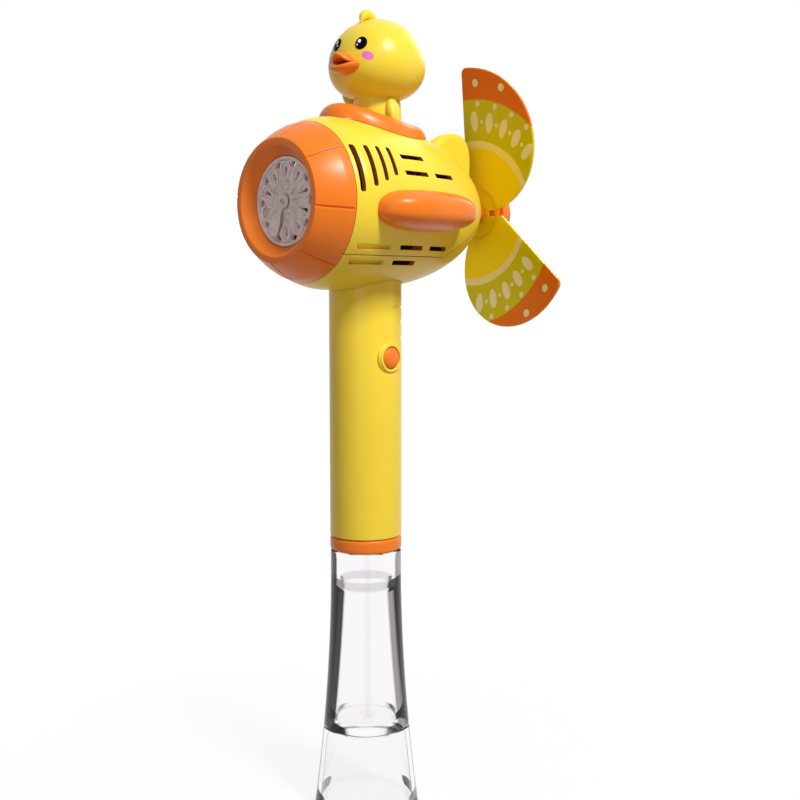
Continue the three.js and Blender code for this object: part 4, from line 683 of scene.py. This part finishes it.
def bead(outline, y, radius, name):
    """A round bead along a closed outline on the disc's face."""
    path = bpy.data.curves.new(name, "CURVE")
    path.dimensions = "3D"
    path.bevel_depth = radius * MM
    path.bevel_resolution = 3
    run = path.splines.new("POLY")
    run.points.add(len(outline) - 1)
    for point, (u, v) in zip(run.points, outline):
        point.co = (u * MM, y * MM, (AXIS_Z + v) * MM, 1)
    run.use_cyclic_u = True
    line = bpy.data.objects.new(name, path)
    scene.collection.objects.link(line)
    mesh = bpy.data.meshes.new_from_object(line.evaluated_get(bpy.context.evaluated_depsgraph_get()))
    bpy.data.objects.remove(line)
    bpy.data.curves.remove(path)
    bm = bmesh.new()
    bm.from_mesh(mesh)
    bpy.data.meshes.remove(mesh)
    return bm


plate_line = [(1.9, -50.2), (4.2, -50.9), (7.6, -50.0), (19.0, -50.0), (19.2, -51.1), (DISC_R, -51.1), (DISC_R, -48.3), (1.9, -48.3)]
plate = as_object(turned(softened(plate_line, 0.35, closed=True), "Y", FLIGHT, 160, closed=True), "bubble_plate")
holes = []
for i in range(10):
    angle = 90 + 36 * i
    lifted = [(u, AXIS_Z + v) for u, v in round_the_axis(drop(0.86), angle)]
    holes.append(pushed(lifted, "Y", -56, -49.0))
    slit = [(u, AXIS_Z + v) for u, v in round_the_axis(drop(0.3), angle)]
    holes.append(pushed(slit, "Y", -56, -40))
    gap = [(17.5 + 1.3 * math.cos(a), 2.0 * math.sin(a)) for a in levels(0, 2 * math.pi, 16)[:-1]]
    holes.append(pushed([(u, AXIS_Z + v) for u, v in round_the_axis(gap, angle + 18)], "Y", -56, -40))
    pocket = softened([(5.2, -0.7), (10.4, -1.6), (10.4, 1.6), (5.2, 0.7)], 0.5, closed=True)
    holes.append(pushed([(u, AXIS_Z + v) for u, v in round_the_axis(pocket, angle + 18)], "Y", -56, -49.2))
carve(plate, gathered(*holes))
finish(plate, "main", "smoke_plastic", smoky_dark, "bubble_disc")

beads = [bead(round_the_axis(drop(), 90 + 36 * i), -50.5, 0.62, "rim") for i in range(10)]
beads += [bead(round_the_axis(drop(0.62), 90 + 36 * i), -49.6, 0.34, "inner_rim") for i in range(10)]
rims = as_object(gathered(*beads), "bubble_loops")
finish(rims, "main", "smoke_plastic", smoky, sharp=60)

spoke = softened([(0, -1.3), (7, -1.5), (11, -3.2), (16.6, -3.4), (18.4, 0), (16.6, 3.4), (11, 3.2), (7, 1.5), (0, 1.3)], 1.6, closed=True)
paddle = as_object(pushed([(u, AXIS_Z + v) for u, v in round_the_axis(spoke, 240)], "Y", -52.1, -51.5), "wiper_blade")
boss = turned(softened([(0, -52.4), (3.0, -52.4), (3.6, -51.5), (0, -51.5)], 0.5), "Y", FLIGHT, 48)
carve(paddle, boss, "UNION")
finish(rounded(paddle, 0.2, 3, 50), "wiper", "smoke_plastic", smoky_dark, "wiper_paddle")

# %% [markdown]
# ## Wings, fin and cockpit rim
# The wings are fat rounded pads, the fin a soft tab and the rim a rounded band that tilts down to the rear. Each sits
# on the curved fuselage, so each is made as a full shape and then cut by the fuselage's own outline, which leaves a
# close, even joint all the way round.

# %% Wings
def wing(side):
    body = ball((19.4, 31, 9.5), (36.02, 0.8, AXIS_Z - 3.9), 0.75, columns=96, rows=64)
    if side < 0:
        bmesh.ops.scale(body, verts=body.verts, vec=(-1, 1, 1))
        bmesh.ops.recalc_face_normals(body, faces=body.faces)
    return body


for side, name in ((1, "left"), (-1, "right")):
    pad = carve(as_object(wing(side), f"{name}_wing_pad"), seat())
    finish(pad, "main", "orange_plastic", orange, f"wing_{name}")

# %% Fin
def quad(start, pull, end, count=10):
    """Points of a curve that leaves for a pull point and arrives from it."""
    return [tuple((1 - t) ** 2 * a + 2 * t * (1 - t) * b + t * t * c for a, b, c in zip(start, pull, end))
            for t in levels(0, 1, count)]


def pillow(outline, core, edge, rows=8):
    """A flat outline in (y, z) with a full round edge, across X."""
    bm = bmesh.new()
    count = len(outline)
    ways = []
    for i in range(count):
        (y0, z0), (y1, z1) = outline[i - 1], outline[(i + 1) % count]
        ways.append(Vector((z1 - z0, y0 - y1)).normalized())
    side = [(core + edge * math.cos(t), edge * math.sin(t)) for t in levels(0, math.pi / 2, rows)]
    rings = []
    for x, grow in [(-x, g) for x, g in side] + side[::-1]:
        rings.append([bm.verts.new(Vector((x, y + grow * w.x, z + grow * w.y)) * MM)
                      for (y, z), w in zip(outline, ways)])
    for first, second in zip(rings, rings[1:]):
        for i in range(count):
            bm.faces.new((first[i - 1], first[i], second[i], second[i - 1]))
    bm.faces.new(rings[0])
    bm.faces.new(rings[-1])
    bmesh.ops.recalc_face_normals(bm, faces=bm.faces)
    return bm


fin_line = [(43, 6), (71.1, 6)] + quad((71.1, 26), (71.1, 37.4), (63.5, 37.4)) + quad((62.5, 37.4), (50, 37.4), (43, 24))
fin = as_object(pillow([(y, AXIS_Z + z) for y, z in fin_line], 1.1, 3.4), "tail_fin_tab")
carve(fin, seat())
finish(fin, "main", "yellow_plastic", yellow, "tail_fin", sharp=60)

# %% Cockpit rim
RIM_IN, RIM_OUT, RIM_TOP, RIM_LONG = 18.8, 24.3, 44.2, 29.5
crest = RIM_IN + 1.2
brow = [(crest + (RIM_OUT - crest) * math.cos(a), RIM_TOP - 8 + 8 * math.sin(a)) for a in levels(0, math.pi / 2, 16)]
rim_line = [(RIM_IN, 24.2), (RIM_OUT, 24.2)] + brow + [(RIM_IN + 0.3, RIM_TOP - 0.35), (RIM_IN, RIM_TOP - 1.2)]
rim_shape = turned(rim_line, steps=160, closed=True)
for vert in rim_shape.verts:
    x, y, z = vert.co / MM
    long = y * RIM_LONG / RIM_OUT
    vert.co = Vector((x, long + 5.5, AXIS_Z + z - 0.15 * long - 6.5 * (x / RIM_OUT) ** 2)) * MM
rim = carve(as_object(rim_shape, "cockpit_band"), seat())
finish(rim, "main", "orange_plastic", orange, "cockpit_rim", sharp=50)

# %% [markdown]
# ## The duck
# A smooth vinyl duck looks over the rim: a round head, wider below, on a short body with two little wings, a curled
# tuft and a bill of two halves. It turns its face a little to its left. Eyes and cheeks are printed on the real one.
# Here the cheeks are part of the head's finish, and the eyes are shallow glossy domes with their painted glints. A
# dark ball between the halves of the bill is painted shade for the mouth's shaded inside.

# %% Duck places
HEAD = Vector((0, 8.4, AXIS_Z + 70.7))
HEAD_SIZE = (23.2, 23.2, 20.1)
HEAD_TAPER, HEAD_FULLNESS = 0.12, 0.94
FACE = math.radians(5.8)


def on_head(azimuth, height):
    """A place on the head and the way out from it; azimuth is in degrees from the bill, to the duck's left."""
    turn = FACE + math.radians(azimuth)
    rise = height / HEAD_SIZE[2]
    girdle = math.sqrt(1 - abs(rise) ** (2 / HEAD_FULLNESS))
    level = [math.copysign(abs(c * girdle) ** HEAD_FULLNESS, c) * (1 - HEAD_TAPER * rise)
             for c in (math.sin(turn), -math.cos(turn))]
    way = Vector((*level, rise))
    spot = HEAD + Vector([s * w for s, w in zip(HEAD_SIZE, way)])
    out = Vector([w / s for s, w in zip(HEAD_SIZE, way)]).normalized()
    return spot, out


def face_on(out, tilt=0.0):
    """Axes of a mark on the head: across, out and up."""
    across = Vector((0, 0, 1)).cross(out).normalized()
    up = out.cross(across)
    frame_of = Matrix((across, out, up)).transposed()
    return frame_of @ Matrix.Rotation(math.radians(tilt), 3, "Y")


cheeks = [on_head(side * 29, -1.2) + (side,) for side in (1, -1)]
eyes = [on_head(side * 19.9, 5.5 - 0.6 * side) + (side,) for side in (1, -1)]
print("near eye at", [round(c, 1) for c in eyes[0][0]])

# %% Head finish with its cheeks, and the eyes' finish with their glints
def mark(tree, spot, axes, sizes):
    """1 inside an oval on the surface, 0 outside."""
    coords = tree.nodes.new("ShaderNodeTexCoord")
    place = tree.nodes.new("ShaderNodeMapping")
    place.vector_type = "TEXTURE"
    place.inputs["Location"].default_value = spot * MM
    place.inputs["Rotation"].default_value = axes.to_euler()
    place.inputs["Scale"].default_value = [s * MM for s in sizes]
    reach = tree.nodes.new("ShaderNodeVectorMath")
    reach.operation = "LENGTH"
    tree.links.new(coords.outputs["Object"], place.inputs["Vector"])
    tree.links.new(place.outputs["Vector"], reach.inputs[0])
    return ramped(tree, reach.outputs["Value"], 1.04, 0.96)


head_finish = moulded("yellow_head", YELLOW)
head_tree = head_finish.node_tree
for spot, out, side in cheeks:
    oval = mark(head_tree, spot, face_on(out, side * 20), (3.15, 4.0, 2.05))
    painted(head_tree, oval, shade(232, 120, 190))

eye_finish = moulded("eye_black", shade(6, 5, 6), rough=(0.3, 0.4), bump=0.01, coat=0.0)
eye_finish.node_tree.nodes["Principled BSDF"].inputs["Specular IOR Level"].default_value = 0.03
eye_tree = eye_finish.node_tree
for spot, out, side in eyes:
    axes = face_on(out)
    for across, up, size in ((-0.75, 1.25, 0.8), (-1.75, -0.55, 0.42)):
        glint = spot + axes @ Vector((side * across, 0.0, up))
        dot = mark(eye_tree, glint, axes, (size, 4.0, size))
        painted(eye_tree, dot, shade(252, 252, 252))
print("head and eye finishes ready")

# %% Head, eyes and body
def head_bend(x, y, z):
    return x * (1 - HEAD_TAPER * z), y * (1 - HEAD_TAPER * z), z


head = as_object(ball(HEAD_SIZE, HEAD, HEAD_FULLNESS, head_bend, 128, 80), "duck_crown")
finish(head, "main", "yellow_plastic", head_finish, "duck_head", sharp=80)

for spot, out, side in eyes:
    dome = ball((2.95, 0.8, 3.3), (0, 0, 0), columns=48, rows=24)
    bmesh.ops.rotate(dome, verts=dome.verts, cent=(0, 0, 0), matrix=face_on(out, side * 16))
    bmesh.ops.translate(dome, verts=dome.verts, vec=spot * MM)
    eye = as_object(dome, "duck_eye_left" if side > 0 else "duck_eye_right")
    finish(eye, "main", "black_plastic", eye_finish, sharp=80)

duck_line = [(0, 36.5), (12.2, 36.5), (12.1, 44), (11.8, 49), (11.2, 55), (0, 55)]
torso_shape = turned(softened(duck_line, 1.5), centre=(0, HEAD.y, AXIS_Z), steps=96)
torso = carve(as_object(torso_shape, "duck_torso"), seat())
finish(torso, "main", "yellow_plastic", yellow, "duck_body")

# %% Little wings, tuft and bill
for name, lean, place in (("left", -17, (13.4, -2.0, 45.2)), ("right", -44, (-16.5, -2.0, 53.2))):
    arm_shape = ball((2.6, 3.4, 6.9), (0, 0, 0), 0.88, columns=48, rows=32)
    bmesh.ops.rotate(arm_shape, verts=arm_shape.verts, matrix=Matrix.Rotation(math.radians(lean), 3, "Y"))
    bmesh.ops.translate(arm_shape, verts=arm_shape.verts, vec=(Vector(place) + Vector((0, HEAD.y, AXIS_Z))) * MM)
    arm = as_object(arm_shape, f"duck_wing_{name}")
    finish(arm, "main", "yellow_plastic", yellow, f"duck_arm_{name}", sharp=80)


def faced(bm):
    """Turned with the face about the head's axis."""
    bmesh.ops.rotate(bm, verts=bm.verts, cent=HEAD * MM, matrix=Matrix.Rotation(FACE, 3, "Z"))
    return bm


def curl(points, name):
    """A tapering curl through (forward, height, radius) points above the head's centre."""
    path = bpy.data.curves.new(name, "CURVE")
    path.dimensions = "3D"
    path.bevel_depth = MM
    path.bevel_resolution = 8
    path.resolution_u = 14
    path.use_fill_caps = True
    run = path.splines.new("BEZIER")
    run.bezier_points.add(len(points) - 1)
    for point, (forward, height, radius) in zip(run.bezier_points, points):
        point.co = (HEAD + Vector((0, -forward, height))) * MM
        point.radius = radius
        point.handle_left_type = point.handle_right_type = "AUTO"
    line = bpy.data.objects.new(name, path)
    scene.collection.objects.link(line)
    mesh = bpy.data.meshes.new_from_object(line.evaluated_get(bpy.context.evaluated_depsgraph_get()))
    bpy.data.objects.remove(line)
    bpy.data.curves.remove(path)
    bm = bmesh.new()
    bm.from_mesh(mesh)
    bpy.data.meshes.remove(mesh)
    return bm


tuft_run = [(1.6, 17.4, 2.4), (4.2, 20.0, 2.7), (7.6, 21.1, 2.7), (9.9, 20.3, 2.2), (11.2, 18.6, 1.4), (12.3, 17.0, 0.3)]
tuft = as_object(faced(curl(tuft_run, "duck_curl")), "duck_curl")
finish(tuft, "main", "yellow_plastic", yellow, "duck_tuft", sharp=80)


def upper_bend(x, y, z):
    """A ridge in the middle, with a lip that lifts in front."""
    return x, y, z + 1.0 * (1 - x * x) + 0.35 * max(0, -y) * math.cos(3.0 * x)


def lower_bend(x, y, z):
    """A scoop with its corners drawn up."""
    return x, y, z + 0.7 * x * x - 0.3 * max(0, z) * (1 - x * x)


upper_bill = faced(ball((5.7, 6.4, 2.0), (0, HEAD.y - 23.7, HEAD.z - 3.4), 0.95, upper_bend, 64, 40))
finish(as_object(upper_bill, "bill_top"), "main", "orange_plastic", orange, "duck_bill_upper", sharp=80)
lower_bill = faced(ball((8.3, 6.6, 2.7), (0, HEAD.y - 23.6, HEAD.z - 6.7), 0.92, lower_bend, 64, 40))
finish(as_object(lower_bill, "bill_bottom"), "main", "orange_plastic", orange, "duck_bill_lower", sharp=80)
# painted shade: a dark brown ball between the halves of the bill, where the mouth's inside is in shade
mouth_shade_finish = moulded("painted_mouth_shade", shade(128, 46, 14), rough=(0.4, 0.5), coat=0.0)
mouth = faced(ball((5.4, 5.2, 2.2), (0, HEAD.y - 21.6, HEAD.z - 5.0), columns=48, rows=32))
finish(as_object(mouth, "bill_shade_ball"), "main", "orange_plastic", mouth_shade_finish, sharp=80)

# %% [markdown]
# ## Windmill
# Three printed sheets lean towards the nose and meet at a disc on the shaft. Each blade has one straight edge, set off
# from the axis, and a round edge that sweeps back to the root. A grid is the natural start: one way along it is the
# radius and the other the sweep, and every point is moved to its place before the sheet gets its thickness. The print
# is rings of colour about the axis with a row of petals and dots, drawn in the finish from radius and angle.

# %% Printed finish
print_finish, print_tree, print_shader = started("printed_sheet")
coords = print_tree.nodes.new("ShaderNodeTexCoord")
apart = print_tree.nodes.new("ShaderNodeSeparateXYZ")
print_tree.links.new(coords.outputs["Object"], apart.inputs["Vector"])
across = maths(print_tree, "MULTIPLY", apart.outputs["X"], 1000.0)
upward = maths(print_tree, "MULTIPLY_ADD", apart.outputs["Z"], 1000.0, -AXIS_Z)
radius = maths(print_tree, "SQRT", maths(print_tree, "ADD", maths(print_tree, "MULTIPLY", across, across),
                                        maths(print_tree, "MULTIPLY", upward, upward)))
sweep = maths(print_tree, "ADD", maths(print_tree, "ARCTAN2", across, upward), 2 * math.pi)
BAND = [(0, shade(255, 214, 0)), (34.5, shade(244, 222, 150)), (38.5, shade(206, 196, 0)), (59.4, shade(230, 120, 0))]
print_colour = colours(print_tree, maths(print_tree, "DIVIDE", radius, 100.0), [(r / 100, c) for r, c in BAND], sharp=True)
print_tree.links.new(print_colour, print_shader.inputs["Base Color"])


def row(middle, first, pitch, count, half_across, half_along):
    """A row of ovals on each blade at one radius; first is the angle of the first one, in degrees from straight up."""
    begin = math.radians(first - pitch / 2)
    ahead = maths(print_tree, "FLOORED_MODULO", maths(print_tree, "SUBTRACT", sweep, begin), math.radians(120))
    place = maths(print_tree, "DIVIDE", ahead, math.radians(pitch))
    share = maths(print_tree, "SUBTRACT", maths(print_tree, "FRACT", place), 0.5)
    side = maths(print_tree, "MULTIPLY", share, math.radians(pitch) * middle / half_across)
    along = maths(print_tree, "DIVIDE", maths(print_tree, "SUBTRACT", radius, middle), half_along)
    oval = maths(print_tree, "ADD", maths(print_tree, "MULTIPLY", side, side), maths(print_tree, "MULTIPLY", along, along))
    return maths(print_tree, "MULTIPLY", ramped(print_tree, oval, 1.06, 0.94), maths(print_tree, "LESS_THAN", place, count))


cream = shade(240, 226, 180)
for layout in ((48.5, 4, 12, 5, 2.5, 5.2), (48.5, 10, 12, 4, 1.1, 1.1), (57.5, 7, 12, 4, 1.5, 1.5), (68, 6, 15, 2, 2.0, 2.0)):
    painted(print_tree, row(*layout), cream)
print_shader.inputs["Specular IOR Level"].default_value = 0.15
print_shader.inputs["Subsurface Weight"].default_value = 0.6
print_shader.inputs["Subsurface Radius"].default_value = (0.004, 0.004, 0.002)
print_shader.inputs["Subsurface Scale"].default_value = 1.0
sheen = noise(print_tree, 60, 3)
print_tree.links.new(between(print_tree, sheen, 0.26, 0.38), print_shader.inputs["Roughness"])
raised(print_tree, print_shader, noise(print_tree, 900, 2), 0.03, 0.0001)
print("print: bands at", [r for r, _ in BAND[1:]], "mm")

# %% Blades
BLADE_R, BLADE_ROOT, BLADE_OFFSET, BLADE_TURN, DISC_Y, SHEET = 76, 13, 9, 6, 85, 1.4
TIP_ROUND, BLADE_LEAN, DISH_SOFT = 3, 0.205, 3.5


def dish(r):
    """How far forward the sheet leans at a radius: flat at the hub, then an even cone."""
    return -BLADE_LEAN * DISH_SOFT * math.log1p(math.exp((r - BLADE_ROOT) / DISH_SOFT))


def straight(r):
    return -math.asin(BLADE_OFFSET / r)


def leading(r):
    """The straight edge, with its outer corner rounded."""
    past = min(TIP_ROUND, max(0, r - (BLADE_R - TIP_ROUND)))
    return straight(r) + (TIP_ROUND - math.sqrt(TIP_ROUND ** 2 - past ** 2)) / r


def trailing(r):
    share = (r - BLADE_ROOT) / (BLADE_R - BLADE_ROOT)
    return straight(BLADE_R) + math.radians(83) * math.sqrt(max(0, 1 - share ** 1.25))


def blade(turn):
    bm = bmesh.new()
    bmesh.ops.create_grid(bm, x_segments=40, y_segments=24, size=0.5)
    for vert in bm.verts:
        r = BLADE_ROOT + (BLADE_R - BLADE_ROOT) * math.sin(math.pi / 2 * (vert.co.x + 0.5))
        swing = max(0, trailing(r) - leading(r)) * (vert.co.y + 0.5)
        angle = leading(r) + swing + math.radians(turn)
        lean = dish(r) + 0.04 * (r - BLADE_ROOT) * swing
        vert.co = Vector((r * math.sin(angle), DISC_Y + lean, AXIS_Z + r * math.cos(angle))) * MM
    bmesh.ops.remove_doubles(bm, verts=bm.verts, dist=1e-6)
    bmesh.ops.recalc_face_normals(bm, faces=bm.faces)
    if sum(f.normal.y for f in bm.faces) > 0:
        bmesh.ops.reverse_faces(bm, faces=bm.faces)
    bmesh.ops.translate(bm, verts=bm.verts, vec=(0, -SHEET / 2 * MM, 0))
    back = bmesh.ops.extrude_face_region(bm, geom=bm.faces[:], use_keep_orig=True)
    moved = [item for item in back["geom"] if isinstance(item, bmesh.types.BMVert)]
    bmesh.ops.translate(bm, verts=moved, vec=(0, SHEET * MM, 0))
    bmesh.ops.recalc_face_normals(bm, faces=bm.faces)
    return bm


def slotted(shape):
    """A piece of the sheet with the gaps between the blades' roots cut out."""
    line = softened([(8, -1.5), (18, -1.5), (18, 1.5), (8, 1.5)], 0.5, closed=True)
    slots = [[(u, AXIS_Z + v) for u, v in round_the_axis(line, 120 * i)] for i in range(3)]
    piece = carve(as_object(shape, "sheet"), gathered(*[pushed(outline, "Y", 80, 90) for outline in slots]))
    bm = bmesh.new()
    bm.from_mesh(piece.data)
    bpy.data.objects.remove(piece)
    return bm


disc_radii = [2.3, 5, 8, 10.5, 12, 13.05]
disc_line = [(r, DISC_Y + dish(r) - SHEET / 2) for r in disc_radii]
disc_line += [(r, DISC_Y + dish(r) + SHEET / 2) for r in disc_radii[::-1]]
sheets = [turned(disc_line, "Y", FLIGHT, 96, closed=True)] + [blade(BLADE_TURN + 120 * i) for i in range(3)]
blades = as_object(gathered(*[slotted(sheet) for sheet in sheets]), "windmill_sheet")
finish(blades, "windmill", "printed_sheet", print_finish, "windmill_blades")

# %% Hub and spacer
hub_line = [(2.3, 86), (11, 86), (11, 89), (14.5, 89), (14.5, 94.6), (11.6, 97), (0, 98), (0, 95.9), (2.3, 95.9)]
hub = as_object(turned(softened(hub_line, 1.0, closed=True), "Y", FLIGHT, 96, closed=True), "windmill_boss")
finish(hub, "windmill", "orange_plastic", orange, "windmill_hub")
spacer_line = softened([(2.3, 78.7), (5, 78.7), (5, 84), (2.3, 84)], 0.5, closed=True)
spacer = as_object(turned(spacer_line, "Y", FLIGHT, 64, closed=True), "windmill_spacer")
finish(spacer, "windmill", "orange_plastic", orange, "hub_spacer")

# %% [markdown]
# ## Floor, light and camera
# A pale floor and a white surround stand in for the photographer's table. The floor shows white to the camera and
# keeps a soft shadow. Two big soft lights and the surround give a plain level. The camera stands where the photograph
# was taken from: an eighth of a turn to the aeroplane's left, just under the height of the fuselage.

# %% Floor and surround
floor_mesh = bmesh.new()
bmesh.ops.create_circle(floor_mesh, cap_ends=True, segments=96, radius=4.0)
floor = as_object(floor_mesh, "floor")
floor.data.transform(Matrix.Translation((0, 0, -0.0004)))
floor_finish, floor_tree, floor_shader = started("pale_floor")
floor_shader.inputs["Roughness"].default_value = 0.8
floor_shader.inputs["Specular IOR Level"].default_value = 0.1
floor_white = floor_tree.nodes.new("ShaderNodeEmission")
floor_mix = floor_tree.nodes.new("ShaderNodeMixShader")
floor_path = floor_tree.nodes.new("ShaderNodeLightPath")
floor_out = floor_tree.nodes["Material Output"]


def seen(tree, path):
    """1 for rays that show the background: straight, mirrored or through clear plastic."""
    either = maths(tree, "MAXIMUM", path.outputs["Is Camera Ray"], path.outputs["Is Glossy Ray"])
    return maths(tree, "MAXIMUM", either, path.outputs["Is Transmission Ray"])


floor_place = floor_tree.nodes.new("ShaderNodeTexCoord")
floor_reach = floor_tree.nodes.new("ShaderNodeVectorMath")
floor_reach.operation = "LENGTH"
floor_tree.links.new(floor_place.outputs["Object"], floor_reach.inputs[0])
WARM = (1.0, 0.84, 0.76, 1.0)
floor_colour = mixed(floor_tree, seen(floor_tree, floor_path), tinted(WARM, 0.35), (0.95, 0.95, 0.95, 1.0))
floor_tree.links.new(floor_colour, floor_shader.inputs["Base Color"])
whiteness = between(floor_tree, ramped(floor_tree, floor_reach.outputs["Value"], 0.03, 0.25), 0.88, 1.0)
floor_tree.links.new(maths(floor_tree, "MULTIPLY", seen(floor_tree, floor_path), whiteness), floor_mix.inputs["Fac"])
floor_tree.links.new(floor_shader.outputs["BSDF"], floor_mix.inputs[1])
floor_tree.links.new(floor_white.outputs["Emission"], floor_mix.inputs[2])
floor_tree.links.new(floor_mix.outputs["Shader"], floor_out.inputs["Surface"])
floor.data.materials.append(floor_finish)

world = bpy.data.worlds.new("surround")
world.use_nodes = True
scene.world = world
sky = world.node_tree.nodes["Background"]
sky_path = world.node_tree.nodes.new("ShaderNodeLightPath")
sky_level = between(world.node_tree, seen(world.node_tree, sky_path), 0.1, 1.0)
world.node_tree.links.new(sky_level, sky.inputs["Strength"])
warm_white = mixed(world.node_tree, seen(world.node_tree, sky_path), WARM, (1, 1, 1, 1))
world.node_tree.links.new(warm_white, sky.inputs["Color"])
print("floor and surround ready")

# %% Lights
RIGHT = Vector((math.sqrt(0.5), math.sqrt(0.5), 0))
BACK = Vector((0.7037, -0.7037, 0.0976)).normalized()
UP = BACK.cross(RIGHT)
MIDDLE_OF_TOY = Vector((0, 10, 260)) * MM


def soft_light(name, right, up, back, size, power, tint=(1, 1, 1)):
    lamp = bpy.data.lights.new(name, "AREA")
    lamp.shape = "RECTANGLE"
    lamp.size, lamp.size_y = size
    lamp.energy = power
    lamp.color = tint
    holder = bpy.data.objects.new(name, lamp)
    scene.collection.objects.link(holder)
    place = MIDDLE_OF_TOY + RIGHT * right + UP * up + BACK * back
    holder.location = place
    holder.rotation_euler = (MIDDLE_OF_TOY - place).to_track_quat("-Z", "Y").to_euler()
    return holder


soft_light("key", 0.85, 1.35, 1.25, (0.35, 0.35), 42.0)
soft_light("right", 0.95, 0.2, -0.1, (0.4, 0.8), 0.95, WARM[:3])
soft_light("back", 0.6, 0.7, -0.8, (0.4, 0.4), 3.5)
soft_light("front", -0.3, 0.15, 1.0, (0.4, 1.0), 2.1, (1.0, 0.95, 0.92))
print("four soft lights")

# %% Camera
lens = bpy.data.cameras.new("view")
lens.sensor_width = 36
lens.lens = 52.2
lens.clip_start = 0.01
camera = bpy.data.objects.new("view", lens)
scene.collection.objects.link(camera)
spot = Vector((421.269, -396.831, 265.163)) * MM
camera.matrix_world = Matrix((RIGHT, UP, BACK)).transposed().to_4x4()
camera.location = spot
scene.camera = camera
scene.view_settings.view_transform = "Standard"
print("camera at", [round(c, 3) for c in spot])
